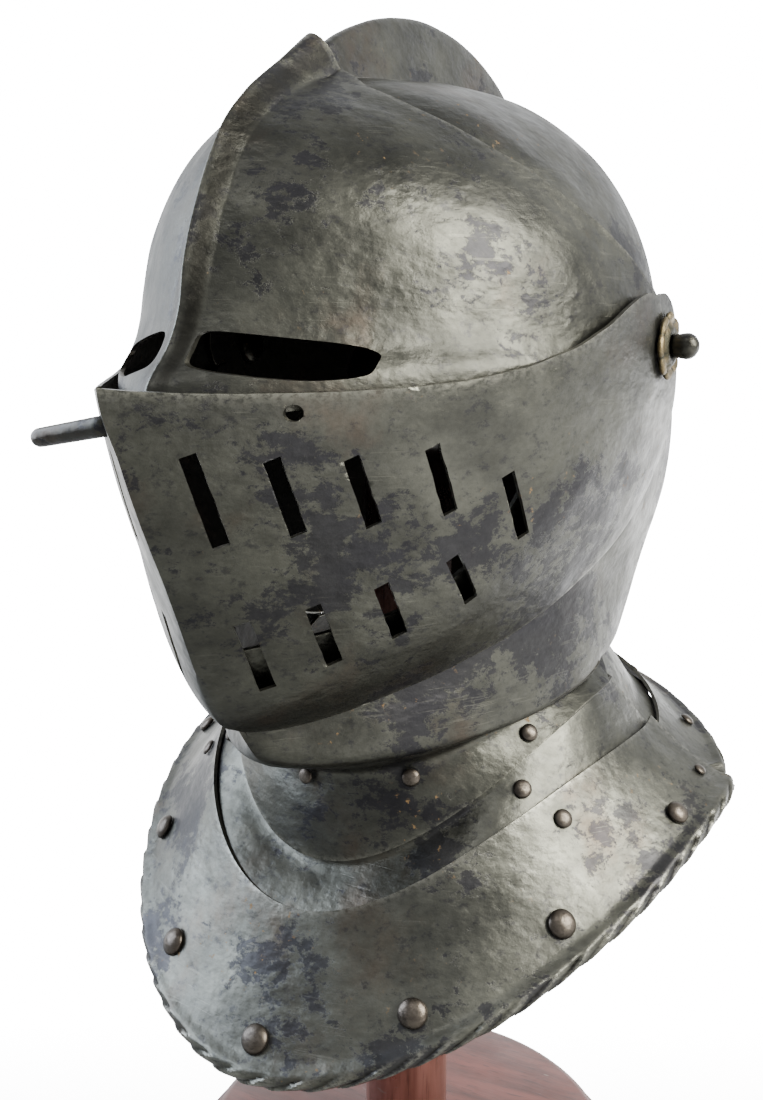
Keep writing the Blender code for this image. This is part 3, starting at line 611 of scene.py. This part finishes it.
def slitCutter(side):
    bm = bmesh.new()
    bmesh.ops.create_circle(bm, cap_ends=True, segments=eyeSlit["points"], radius=1)
    first, last = eyeSlit["ends"]
    power = 2 / eyeSlit["roundness"]
    for vert in bm.verts:
        sideways, upward = signedPower(vert.co.x, power), signedPower(vert.co.y, power)
        across = (first + last) / 2 + (last - first) / 2 * sideways
        low, high = curveThrough(eyeSlit["edge"], 1, across), curveThrough(eyeSlit["edge"], 2, across)
        spot = shellPoint(visorShape, (low + high) / 2 + (high - low) / 2 * upward, across)
        spot.x *= side
        vert.co = pivot + spot * eyeSlit["cutFrom"] * mm
    block = bmesh.ops.extrude_face_region(bm, geom=bm.faces)
    outer = [part for part in block["geom"] if isinstance(part, bmesh.types.BMVert)]
    bmesh.ops.scale(bm, vec=[eyeSlit["cutBy"]] * 3, space=Matrix.Translation(-pivot), verts=outer)
    bmesh.ops.recalc_face_normals(bm, faces=bm.faces)
    return objectFrom(bm, "eyeSlitCutter", [edgeSteel])


def cutAll(piece, cutters):
    for cutter in cutters:
        put(piece.modifiers.new("pierced", "BOOLEAN"), operation="DIFFERENCE", object=cutter,
            solver="EXACT", material_mode="TRANSFER")
    breakEdges(piece)
    # the modifiers are made part of the mesh, so that the cutters can go
    graph = bpy.context.evaluated_depsgraph_get()
    mesh = bpy.data.meshes.new_from_object(piece.evaluated_get(graph))
    piece.modifiers.clear()
    old, piece.data = piece.data, mesh
    bpy.data.meshes.remove(old)
    mesh.name = piece.name
    for cutter in cutters:
        bpy.data.objects.remove(cutter, do_unlink=True)


visor = facePlate(visorShape, 1.9, 1.8, keel)
visor = makePlate(visor, (0.28, 24, 2), "visorPlate", "visor", "visor")
cutAll(visor, [slitCutter(1), slitCutter(-1)])
print("visor made")

# Ventail, with its breathing slots, lock holes and lifting peg
ventailShape = {
    "halfWidth": 103.6, "rowLength": 190,
    "sections": [(*row, 0.90) for row in (
        (-190, 150, 1.20), (-150, 142, 1.15), (-120, 142, 1.20), (-90, 153, 1.30), (-74, 163, 1.42),
        (-63, 173, 1.48), (-50, 184, 1.55), (-40, 196, 1.65), (-33, 194, 1.72), (-26, 192, 1.80),
        (-20, 193, 1.85), (-10, 199, 1.97), (-3, 205, 2.10), (10, 198, 1.75), (40, 180, 1.50),
        (90, 160, 1.30))],
    "edge": [
        (5.5, -172, 68), (8, -158, 32), (12, -140, 10), (17, -118, 0), (24, -94, -4), (31, -76, -5.2),
        (38, -65, -5.3), (47, -56, -4.9), (58, -50.5, -4.3), (68, -47.5, -3.8), (79, -44.2, -3.3),
        (90, -40.5, -3)],
}
breaths = {
    "width": 5.6, "depth": 7, "cuts": 7, "ragged": 0.35,
    # angle across, lowest angle, highest angle
    "slots": [
        (68.0, -19.6, -9.7), (56.6, -20.6, -11.4), (47.4, -22.6, -13.0), (38.2, -25.4, -14.2),
        (30.2, -37.4, -23.9), (69.6, -37.0, -28.6), (58.2, -37.6, -29.6), (48.9, -38.7, -30.8),
        (39.5, -41.2, -32.4)],
}
lockHole = {"across": 52, "angle": -6.8, "radius": 2.6, "depth": 16}
# the profile has rows of distance from the plate and radius
peg = {"across": 72, "angle": -6.8, "axis": (-1, 0, -0.17),
       "profile": [(-5, 0), (-5, 3.3), (2, 3.3), (24, 3.12), (26.2, 3.02), (27.4, 2.5), (27.9, 1.4),
                   (28, 0)]}


def breathCutter(slot, side, seed):
    across, low, high = slot
    bottom, top = (shellPoint(ventailShape, angle, across) for angle in (low, high))
    beside = shellPoint(ventailShape, (low + high) / 2, across + 2)
    middle = (bottom + top) / 2
    along = (top - bottom).normalized()
    width = (beside - middle - along * (beside - middle).dot(along)).normalized()
    out = along.cross(width).normalized()
    bm = bmesh.new()
    bmesh.ops.create_cube(bm, size=1)
    bmesh.ops.subdivide_edges(bm, edges=bm.edges, cuts=breaths["cuts"], use_grid_fill=True)
    length = (top - bottom).length
    for vert in bm.verts:
        w, a, o = vert.co
        ragged = noise.noise(Vector((w * 3, a * 9, seed * 4.7))) * breaths["ragged"]
        spot = middle + width * (w * breaths["width"] + ragged * abs(w) * 2)
        spot += along * (a * length) + out * (o * 2 * breaths["depth"])
        spot.x *= side
        vert.co = pivot + spot * mm
    bm.normal_update()
    bmesh.ops.recalc_face_normals(bm, faces=bm.faces)
    return objectFrom(bm, "breathCutter", [edgeSteel])


def lockHoleCutter(side):
    spot = shellPoint(ventailShape, lockHole["angle"], lockHole["across"])
    spot.x *= side
    turn = spot.to_track_quat("Z", "Y").to_matrix().to_4x4()
    bm = bmesh.new()
    bmesh.ops.create_cone(bm, cap_ends=True, segments=28, radius1=lockHole["radius"] * mm,
                          radius2=lockHole["radius"] * mm, depth=lockHole["depth"] * mm,
                          matrix=Matrix.Translation(pivot + spot * mm) @ turn)
    return objectFrom(bm, "lockHoleCutter", [edgeSteel])


ventail = facePlate(ventailShape, 2.1, 2.0)
ventail = makePlate(ventail, (0.30, 30, 3), "ventailPlate", "ventail", "ventail", inside=litVentailInside)
cutters = []
for side in (1, -1):
    cutters += [breathCutter(slot, side, number * side) for number, slot in enumerate(breaths["slots"], 1)]
    cutters.append(lockHoleCutter(side))
cutAll(ventail, cutters)
print("ventail made")


def turned(profile, origin, axis, steps):
    # a round solid from rows of distance along its axis and radius, in millimetres from the pivot
    bm = bmesh.new()
    axis = Vector(axis).normalized()
    across = axis.orthogonal().normalized()
    verts = [bm.verts.new(pivot + (Vector(origin) + axis * along + across * radius) * mm)
             for along, radius in profile]
    edges = [bm.edges.new(pair) for pair in zip(verts, verts[1:])]
    bmesh.ops.spin(bm, geom=verts + edges, cent=pivot + Vector(origin) * mm, axis=axis, angle=2 * pi,
                   steps=steps, use_merge=True)
    bmesh.ops.remove_doubles(bm, verts=bm.verts, dist=0.000005)
    bmesh.ops.recalc_face_normals(bm, faces=bm.faces)
    if bm.calc_volume(signed=True) < 0:
        bmesh.ops.reverse_faces(bm, faces=bm.faces)
    wearAndShade = bm.verts.layers.float.new("wearAndShade")
    return bm, wearAndShade


pegFoot = shellPoint(ventailShape, peg["angle"], peg["across"])
pegFoot.x = -pegFoot.x
pegMesh, pegWear = turned(peg["profile"], pegFoot, peg["axis"], 40)
for vert in pegMesh.verts:
    vert[pegWear] = 0.3 * exp(((vert.co - pivot) / mm - pegFoot).length / 9 - 3.2)
hammerOut(pegMesh, 0.10, 7, 4)
finishPiece(pegMesh, "liftingPeg", "ventail", [scaledSteel], ["lifting_peg"])
print("lifting peg made")

# Neck rings: half width, and how far forward and how high the sides are; then, in front and behind,
# how far and how high the ring reaches, how square it is and how steadily it falls away
rings = {
    "chin": (79, -10, -127, (126, -147, 1.60, 0.5), (-98, -110, 2.4, 1.4)),
    "neck": (74, -10, -133, (86, -162, 1.95, 1.4), (-103, -116, 2.2, 1.4)),
    "nape": (68, -10, -125, (86, -162, 1.95, 1.4), (-106, -116, 2.2, 1.4)),
    "flange": (82.5, -10, -140, (91, -197, 1.94, 1.9), (-109, -127, 2.0, 1.4)),
    "collar": (94, -26, -161.5, (108, -210, 1.98, 2.6), (-116, -139, 1.98, 1.4)),
    "rim": (126.5, -26, -183.5, (139, -257, 1.88, 1.38), (-131, -152, 1.88, 1.43)),
}


def ringPoint(name, turn):
    # turn 0 is in front, 90 on the wearer's left and 180 behind
    width, side, sideZ, front, back = rings[name]
    c, s = cos(radians(turn)), sin(radians(turn))
    far, farZ, square, dip = back if c < 0 else front
    k = abs(c) ** (2 / square)
    x = width * signedPower(s, 2 / square)
    return Vector((x, -side - (far - side) * k, sideZ + (farZ - sideZ) * k**dip))


def layPoint(inner, outer, turn, part, depth):
    # a point between two rings, sunk below them, with the directions up and outward there
    def on(turnThere, share):
        a = ringPoint(inner, turnThere)
        return a + (ringPoint(outer, turnThere) - a) * share
    along = on(turn + 2, part) - on(turn - 2, part)
    out = on(turn, 1) - on(turn, 0)
    up = along.cross(out).normalized()
    if up.z < 0:
        up = -up
    return on(turn, part) - up * depth, up, out.normalized()


def neckSpot(lays, reach, turn):
    spots = [layPoint(inner, outer, turn, part, depth)[0] for inner, outer, part, depth in lays]
    return through(spots, reach)


def ropeSpot(plate, turn, travel, along):
    # the edge turned over in one roll; along goes from 0, on the plate, to 1, under the roll
    rope, lays = plate["rope"], plate["lays"]
    inner, outer, part, depth = lays[-1]
    up, out = layPoint(inner, outer, turn, part, depth)[1:]
    side = min(abs(turn), 360 - abs(turn))
    whole, rolled = (straightThrough(plate["rim"], column, side) for column in (1, 2))
    top = neckSpot(lays, (len(lays) - 1) * whole, turn)
    start = neckSpot(lays, (len(lays) - 1) * whole * (1 - rope["filletStart"]), turn)
    flat = start.lerp(top, along)
    centre = top + out * rope["out"] - up * rope["down"]

    def onRoll(degrees):
        return centre + (out * cos(radians(degrees)) + up * sin(radians(degrees))) * rope["radius"]

    rise = rope["filletShare"]
    if along < rise:
        t = along / rise
        end = onRoll(rope["from"])
        lean = radians(rope["from"] - 90)
        tangent = out * cos(lean) + up * sin(lean)
        a, b = start + (top - start) * 0.55, end - tangent * 0.4 * rope["radius"]
        risen = (1 - t)**3 * start + 3 * (1 - t)**2 * t * a + 3 * (1 - t) * t * t * b + t**3 * end
        return flat.lerp(risen, rolled), 0.0
    sweep = rope["from"] - rope["to"]
    swept = (along - rise) / (1 - rise) * sweep
    wander = rope["wander"] * noise.noise(Vector((travel / rope["wanderLength"], 3, 0)))
    phase = (travel / rope["pitch"] + swept / rope["slant"] + wander) % 1
    lobe = min(phase / rope["groove"], 1) * (1 - 0.75 * phase ** 1.5)
    fade = min(swept / rope["fadeIn"], 1) * min(1, (sweep - swept) / rope["fadeOut"])
    spot = onRoll(rope["from"] - swept)
    inward = (centre - spot).normalized() * rope["depth"] * (1 - lobe) * fade
    # painted shade darkens the grooves between the lobes
    paintedShade = (1 - lobe) ** 1.5 * fade * rolled
    # the raised lobes are rubbed bright, and brightened further as a painted highlight
    return flat.lerp(spot + inward, rolled), (0.9 * lobe ** 2 * fade * rolled if lobe > 0.7 else 0) - paintedShade


def neckPlate(plate, step, rowStep):
    lays = plate["lays"]
    inner, outer, part = lays[-1][:3]
    turns = evenly(*plate["turns"], step, 1400, lambda turn: layPoint(inner, outer, turn, part, 0)[0])
    columns = len(turns) - 1
    middle = [neckSpot(lays, i, sum(plate["turns"]) / 2) for i in range(len(lays))]
    length = sum((b - a).length for a, b in zip(middle, middle[1:]))
    rows = max(10, round(length / rowStep))
    rope = plate.get("rope")
    rollRows = rope["rows"] if rope else 0

    def place(column, row):
        turn = turns[column]
        side = min(abs(turn), 360 - abs(turn))
        whole = straightThrough(plate["rim"], 1, side) * (1 - rope["filletStart"]) if rope else 1.0
        fromEnd = min(column, columns - column) * step
        endRub = edgeRub(fromEnd, 0.7, 1.6)
        if row > rows:
            spot, rubAndShade = ropeSpot(plate, turn, column * step, (row - rows) / rollRows)
            # below nought the value is painted shade in the grooves of the rope
            return spot, rubAndShade if rubAndShade < 0 else max(rubAndShade, endRub)
        reach = (len(lays) - 1) * row / rows * whole
        fromEdge = (row if rope else min(row, rows - row)) * length / rows
        return neckSpot(lays, reach, turn), max(edgeRub(fromEdge, 0.7, 1.6), endRub)

    bm = gridOf(columns, rows + rollRows, place)
    bmesh.ops.recalc_face_normals(bm, faces=bm.faces)
    upward = sum(face.normal.z * face.calc_area() for face in bm.faces)
    if upward < 0:
        bmesh.ops.reverse_faces(bm, faces=bm.faces)
    return bm


# Gorget: in front and behind, one narrow lame and a broad main plate with a roped rim
frontLame = {
    # inner and outer ring, how far between them, how deep below them
    "lays": [("neck", "flange", 0.80, 2.7), ("flange", "collar", 0.00, 2.7),
             ("flange", "collar", 0.50, 2.6), ("flange", "collar", 1.00, 2.7),
             ("collar", "rim", 0.13, 2.7)],
    "turns": (-96.5, 96.5),
}
frontMain = {
    "lays": [("collar", "rim", part, depth) for part, depth in (
        (0.00, 0.0), (0.25, 1.0), (0.50, 1.4), (0.75, 1.0), (1.00, 0.0))],
    "turns": (-98, 98),
    # turn from the front, where the plate ends, and how far the edge is rolled
    "rim": [(0, 1.0, 1.0), (100, 1.0, 1.0)],
    # millimetres and degrees round the roll, which lies outside and below the edge, starts at the top
    # and ends underneath; groove, wander and the fillet are shares
    "rope": {"radius": 4.0, "out": 3.36, "down": 1.89, "pitch": 12.0, "slant": 100, "depth": 1.5,
             "from": 110, "to": -120, "fadeIn": 22, "fadeOut": 30, "groove": 0.10, "wander": 0.22,
             "wanderLength": 23, "filletStart": 0.065, "filletShare": 0.2, "rows": 24},
}
rearLame = {
    "lays": [("nape", "flange", 0.00, 4.0), ("neck", "flange", 0.80, 5.2), ("flange", "collar", 0.50, 5.6),
             ("flange", "collar", 1.00, 6.0), ("collar", "rim", 0.26, 6.8)],
    "turns": (92, 268),
}
rearMain = {
    "lays": [("collar", "rim", part, depth) for part, depth in (
        (0.16, 3.4), (0.36, 4.4), (0.58, 5.2), (0.80, 5.2), (1.00, 4.4))],
    "turns": (92, 268),
    # the ends that slide under the front plate stop short of its roped rim
    "rim": [(92, 0.80, 0.0), (101, 0.82, 0.0), (107, 1.0, 1.0), (180, 1.0, 1.0)],
    "rope": frontMain["rope"],
}
neckPlates = [
    # name, shape, columns and rows apart, depth, size and seed of the dents, body, solid
    ("frontLamePlate", frontLame, 2.2, 1.9, (0.22, 22, 5), "bevor", "front_lame"),
    ("frontMainPlate", frontMain, 1.35, 2.3, (0.32, 30, 6), "bevor", "front_main_plate"),
    ("rearLamePlate", rearLame, 2.2, 1.9, (0.22, 22, 7), "skull_and_stand", "rear_lame"),
    ("rearMainPlate", rearMain, 1.35, 2.3, (0.28, 30, 8), "skull_and_stand", "rear_main_plate"),
]
for name, shape, columnStep, rowStep, dents, body, solid in neckPlates:
    plate = neckPlate(shape, columnStep, rowStep)
    breakEdges(makePlate(plate, dents, name, body, solid, outside=gorgetSteel, even=False))
print("gorget made")

# Bevor: ribs from the top edge over the jaw, then down the neck to the turned out flange
bevorShape = {
    "halfWidth": 97.2,
    "sections": [(*row, 0.90) for row in (
        (-190, 225, 1.30), (-130, 215, 1.30), (-110, 201, 1.36), (-90, 181, 1.42), (-75, 172, 1.46),
        (-63, 168, 1.52), (-50, 177, 1.60), (-40, 187, 1.72), (-33, 187, 1.95), (-10, 187, 2.40),
        (40, 180, 2.50), (150, 200, 1.40))],
    # rib number, across and angle of its top, across and angle at the jaw, how far the jaw stands out
    # beyond the section, turn round the neck
    "ribs": [
        (0, 90, -33, 90, -41.6, 1.030, 0), (1, 72, -33.5, 74, -46.8, 1.030, 12),
        (2, 57, -36, 60, -50.8, 1.026, 24), (3, 46, -38.5, 50, -56.5, 1.020, 37),
        (4, 36, -38, 42, -63, 1.012, 51), (5, 27, -32, 36, -72, 1.0, 66),
        (6, 18, -16, 32.5, -80, 1.0, 77), (7, 11, 12, 30.5, -87, 1.0, 85), (8, 6, 50, 29.4, -93, 1.0, 90),
        (9, 6, 0, 28.7, -98, 1.0, 94), (10, 6, -55, 28.0, -104, 1.0, 98),
        (11, 6, -110, 27.3, -110, 1.0, 103), (12, 6, -165, 26.5, -118, 1.0, 108)],
    # the rib where the round end of the arm starts, and the corners that close it
    "armRib": 8, "armAcross": 6, "armEnd": (145, 98),
    "neckShares": (("chin", 1.0), ("neck", 0.92), ("flange", 0.84)),
    "perRib": 9, "rows": 84, "rowStep": 2.4,
}


def bevorColumn(number):
    topAcross, topAngle, jawAcross, jawAngle, jawOut, turn = (
        curveThrough(bevorShape["ribs"], column, number) for column in range(1, 7))
    spots = []
    for share in (0, 0.33, 0.67, 1):
        across = topAcross + (jawAcross - topAcross) * share
        angle = topAngle + (jawAngle - topAngle) * share
        spots.append(shellPoint(bevorShape, angle, min(across, 90)))
    spots[-1] *= jawOut
    chin, neck, flange = (ringPoint(name, turn * share) for name, share in bevorShape["neckShares"])
    return spots + [chin, chin.lerp(neck, 0.55), neck, neck.lerp(flange, 0.5), flange]


perRib, armStart = bevorShape["perRib"], bevorShape["armRib"] * bevorShape["perRib"]
halfColumns = [bevorColumn(k / perRib) for k in range((len(bevorShape["ribs"]) - 1) * perRib + 1)]
sideColumns = len(halfColumns) - 1


def placeBevor(column, row):
    spots = halfColumns[abs(column - sideColumns)]
    spot = through(spots, (len(spots) - 1) * row / bevorShape["rows"])
    if column > sideColumns:
        spot.x = -spot.x
    fromEdge = min(row, bevorShape["rows"] - row) * bevorShape["rowStep"]
    return spot, edgeRub(fromEdge, 0.8, 1.7)


bevor = gridOf(2 * sideColumns, bevorShape["rows"], placeBevor)
armRim = [column[0] for column in halfColumns[armStart:]]
armRim += [shellPoint(bevorShape, angle, bevorShape["armAcross"]) for angle in bevorShape["armEnd"]]
for side in (1, -1):
    outline = [bevor.verts.new(pivot + Vector((side * p.x, p.y, p.z)) * mm) for p in armRim]
    bevor.faces.new(outline)
turnOutward(bevor, pivot + Vector((0, 0, -0.08)))
breakEdges(makePlate(bevor, (0.25, 26, 9), "bevorPlate", "bevor", "bevor", even=False))
print("bevor made")

# Rivets: domed heads, each struck a little differently
bevorFlange = [("neck", "flange", 0.0, 0.0), ("neck", "flange", 1.0, 0.0)]
rivetRows = [
    # name, lays of the plate, body, then turn, part, radius and height of each
    ("front_rim_rivet", frontMain["lays"], "bevor",
     [(0, 0.85, 5.6, 3.4), (28, 0.80, 5.6, 3.4), (52, 0.80, 5.6, 3.4), (78, 0.81, 4.8, 3.0),
      (92, 0.74, 2.8, 1.6)]),
    ("front_plate_rivet", frontMain["lays"], "bevor", [(58, 0.20, 3.8, 2.0)]),
    ("front_lame_rivet", frontLame["lays"][1:4], "bevor", [(53, 0.50, 3.8, 2.0)]),
    ("rear_rim_rivet", rearMain["lays"], "skull_and_stand",
     [(121, 0.80, 3.4, 2.0), (146, 0.80, 3.4, 2.0), (180, 0.80, 3.4, 2.0)]),
    ("bevor_rivet", bevorFlange, "bevor",
     [(-6, 0.12, 3.2, 1.6), (27, 0.17, 3.6, 2.0), (59, 0.50, 3.6, 2.0)]),
]


# the foot goes into the plate, above it come a straight shoulder and a dome of so many steps
rivetShape = {"foot": 0.3, "footRadius": 0.96, "shoulder": 0.25, "steps": 9, "fullness": 0.92, "sides": 28,
              "strike": 0.10, "dents": (0.07, 3.5)}


def makeRivet(name, lays, body, turn, part, radius, height, chance):
    inner, outer = lays[-1][:2]
    band = [lay[2:] for lay in lays if lay[:2] == (inner, outer)]
    spot, up, out = layPoint(inner, outer, turn, part, curveThrough(band, 1, part))
    foot, shoulder, steps = rivetShape["foot"], rivetShape["shoulder"], rivetShape["steps"]
    dome = [(foot, 0), (foot, radius * rivetShape["footRadius"])]
    for k in range(1, steps):
        lean = k / steps * pi / 2
        dome.append((foot + shoulder + (height - shoulder) * sin(lean),
                     radius * cos(lean) ** rivetShape["fullness"]))
    dome.append((foot + height, 0))
    bm, wearAndShade = turned(dome, spot, up, rivetShape["sides"])
    strike = Vector([chance.uniform(-1, 1) for axis in "xyz"])
    for vert in bm.verts:
        local = (vert.co - pivot) / mm - spot
        high = max(local.dot(up) - foot, 0) / height
        vert[wearAndShade] = 0.3 * high ** 3
        local += strike * rivetShape["strike"] * high
        vert.co = pivot + (spot + local) * mm
    hammerOut(bm, *rivetShape["dents"], chance.uniform(1, 9))
    finishPiece(bm, name + "_head", body, [rivetSteel], [name])


chance = random.Random(7)
for name, lays, body, rivets in rivetRows:
    for number, (turn, part, radius, height) in enumerate(rivets, 1):
        alone = turn <= 0 or turn == 180
        for side, suffix in (((1, ""),) if alone else ((1, "_left"), (-1, "_right"))):
            makeRivet(f"{name}_{number}{suffix}", lays, body, side * turn, part, radius, height, chance)
print("rivets made")

# Pivot pins and their brass rosettes
pinProfile = [  # distance from the middle of the helmet, radius
    (88.6, 0), (88.6, 7.0), (90.0, 7.6), (91.2, 7.6), (91.2, 3.8), (106.9, 3.3), (107.0, 4.2), (107.9, 4.6),
    (109.4, 4.7), (110.4, 4.9), (112.0, 5.1), (113.6, 4.9), (115.2, 3.9), (116.4, 2.1), (116.9, 0)]
rosette = {
    "petals": 8, "petalDepth": 0.09, "petalLift": 0.55, "petalFrom": 6.5, "petalTo": 10.5, "face": 104.8,
    "profile": [
        (104.2, 4.4), (104.2, 8.6), (104.2, 12.6), (104.9, 13.2), (105.6, 12.9), (106.2, 11.9),
        (106.2, 10.6), (105.5, 9.3), (105.9, 8.2), (106.9, 7.2), (107.0, 5.8), (106.4, 4.6), (104.2, 4.4)],
}
for side, suffix in ((1, "left"), (-1, "right")):
    bm, wearAndShade = turned(pinProfile, (0, 0, 0), (side, 0, 0), 40)
    for vert in bm.verts:
        vert[wearAndShade] = 0.3
    hammerOut(bm, 0.08, 5, 10 + side)
    finishPiece(bm, "pivotPin_" + suffix, "skull_and_stand", [scaledSteel],
                ["pivot_pin_" + suffix])
    bm, wearAndShade = turned(rosette["profile"], (0, 0, 0), (side, 0, 0), 96)
    for vert in bm.verts:
        local = (vert.co - pivot) / mm
        radius = local.yz.length
        turn = Vector((0, 1)).angle_signed(Vector((local.y, local.z)), 0)
        petal = abs(cos(turn * rosette["petals"] / 2)) ** 0.7
        rising = (radius - rosette["petalFrom"]) / (rosette["petalTo"] - rosette["petalFrom"])
        rising = max(0, min(1, rising))
        scale = 1 - rosette["petalDepth"] * rising * (1 - petal)
        lift = (petal - 0.55) * rosette["petalLift"] * rising * (abs(local.x) > rosette["face"])
        vert[wearAndShade] = 0.25 + 0.6 * petal * rising + 0.15 * noise.noise(local / 2)
        vert.co = pivot + Vector((local.x + side * lift, local.y * scale, local.z * scale)) * mm
    hammerOut(bm, 0.16, 3.2, 12 + side)
    finishPiece(bm, f"rosette_{suffix}_cast", "skull_and_stand", [brass], ["rosette_" + suffix])
print("pins and rosettes made")

# Stand: a turned post with a mushroom top inside the skull, on a moulded round base. The profiles
# have rows of height above the table and radius.
stand = {
    "post": [
        (30.4, 0), (30.4, 18.6), (344, 18.4), (347, 19.4), (349.5, 22.6), (352, 24), (356, 24.6),
        (364, 25.6), (372, 26), (377, 25.9), (383, 24.4), (388, 22), (393, 19.6), (400, 18.4), (415, 18.4),
        (430, 18.6), (437, 19.6), (445, 21.6), (452, 24), (460, 27.2), (466, 28.8), (470, 29), (475, 28.3),
        (480, 26), (485, 19), (487.6, 10), (488.4, 0)],
    "base": [
        (0, 0), (0, 96), (0.8, 97.2), (4, 100.6), (6, 101.5), (9, 102), (12, 102), (14, 101.7),
        (16.5, 100.6), (18.6, 98.6), (19.8, 97.2), (20.3, 95.2), (21.2, 93.8), (22.6, 93.3), (25.6, 92.8),
        (27.4, 92.2), (28.9, 90.6), (30, 88), (30, 60), (30, 30), (30, 0)],
}
for name, part, finish, steps in (("turnedPost", "post", postWood, 72),
                                  ("mouldedBase", "base", baseWood, 144)):
    bm, wearAndShade = turned(stand[part], -pivot / mm, (0, 0, 1), steps)
    finishPiece(bm, name, "skull_and_stand", [finish], ["stand_" + part])
print("stand made")

# Studio: a pale floor that glows towards the back like a lit paper sweep, soft light from both sides
# and a small lamp above
paper = {"colour": "#9c9c9a", "size": 6, "roughness": 0.9}
floorMesh = bmesh.new()
bmesh.ops.create_grid(floorMesh, x_segments=2, y_segments=2, size=paper["size"])
floorFinish, tree, shader = newFinish("palePaperFloor")
behind = Vector((looksAlong.x, looksAlong.y, 0)).normalized()
onFloor = placeIn(tree)
farBack = howFar(onFloor, behind)
farRight = howFar(onFloor, (behind.y, -behind.x, 0))
lit = plus(between(farBack, 0, 1.2, 0, 2.6), between(farRight, 0.1, 0.6, 0, 2))
shown = between(farBack, -0.25, 0.3, 1.5, 20)
feed(shader, {"Emission Color": linearColour("#ffffff"), "Emission Strength": asSeen(lit, shown),
              "Base Color": linearColour(paper["colour"]), "Roughness": paper["roughness"]})
floor = objectFrom(floorMesh, "studioFloor", [floorFinish])

lights = {
    # place, aim, width, height, watts, colour
    "rightWindow": ((1.00, 0.00, 0.88), (0, -0.03, 0.40), 0.70, 0.78, 42, "#fffdf2"),
    "leftWindow": ((-0.88, -0.40, 0.68), (0, -0.05, 0.38), 0.85, 0.90, 23, "#dfecff"),
    "roofLight": ((0.24, -0.70, 1.55), (0, -0.05, 0.45), 0.22, 0.40, 1.9, "#ffffff"),
}
for name, (place, aim, width, height, watts, tint) in lights.items():
    lamp = put(bpy.data.lights.new(name, "AREA"), shape="RECTANGLE", size=width, size_y=height,
               energy=watts, color=linearColour(tint)[:3])
    newObject(name, lamp, location=place, rotation_euler=facing(Vector(aim) - Vector(place)))

# The room: dim in front of the helmet, white behind it
room = {"tint": "#f6f8fa", "dim": 0.7, "bright": 1.8, "seen": 20}
world = bpy.data.worlds.new("paleRoom")
world.use_nodes = True
tree = world.node_tree
backward = howFar(placeIn(tree, "Generated"), behind)
glow = between(backward, -0.1, 1.0, room["dim"], room["bright"])
feed(tree.nodes["Background"], {
    "Color": linearColour(room["tint"]), "Strength": asSeen(glow, room["seen"])})
bpy.context.scene.world = world
print("studio lit")

bpy.context.view_layer.update()
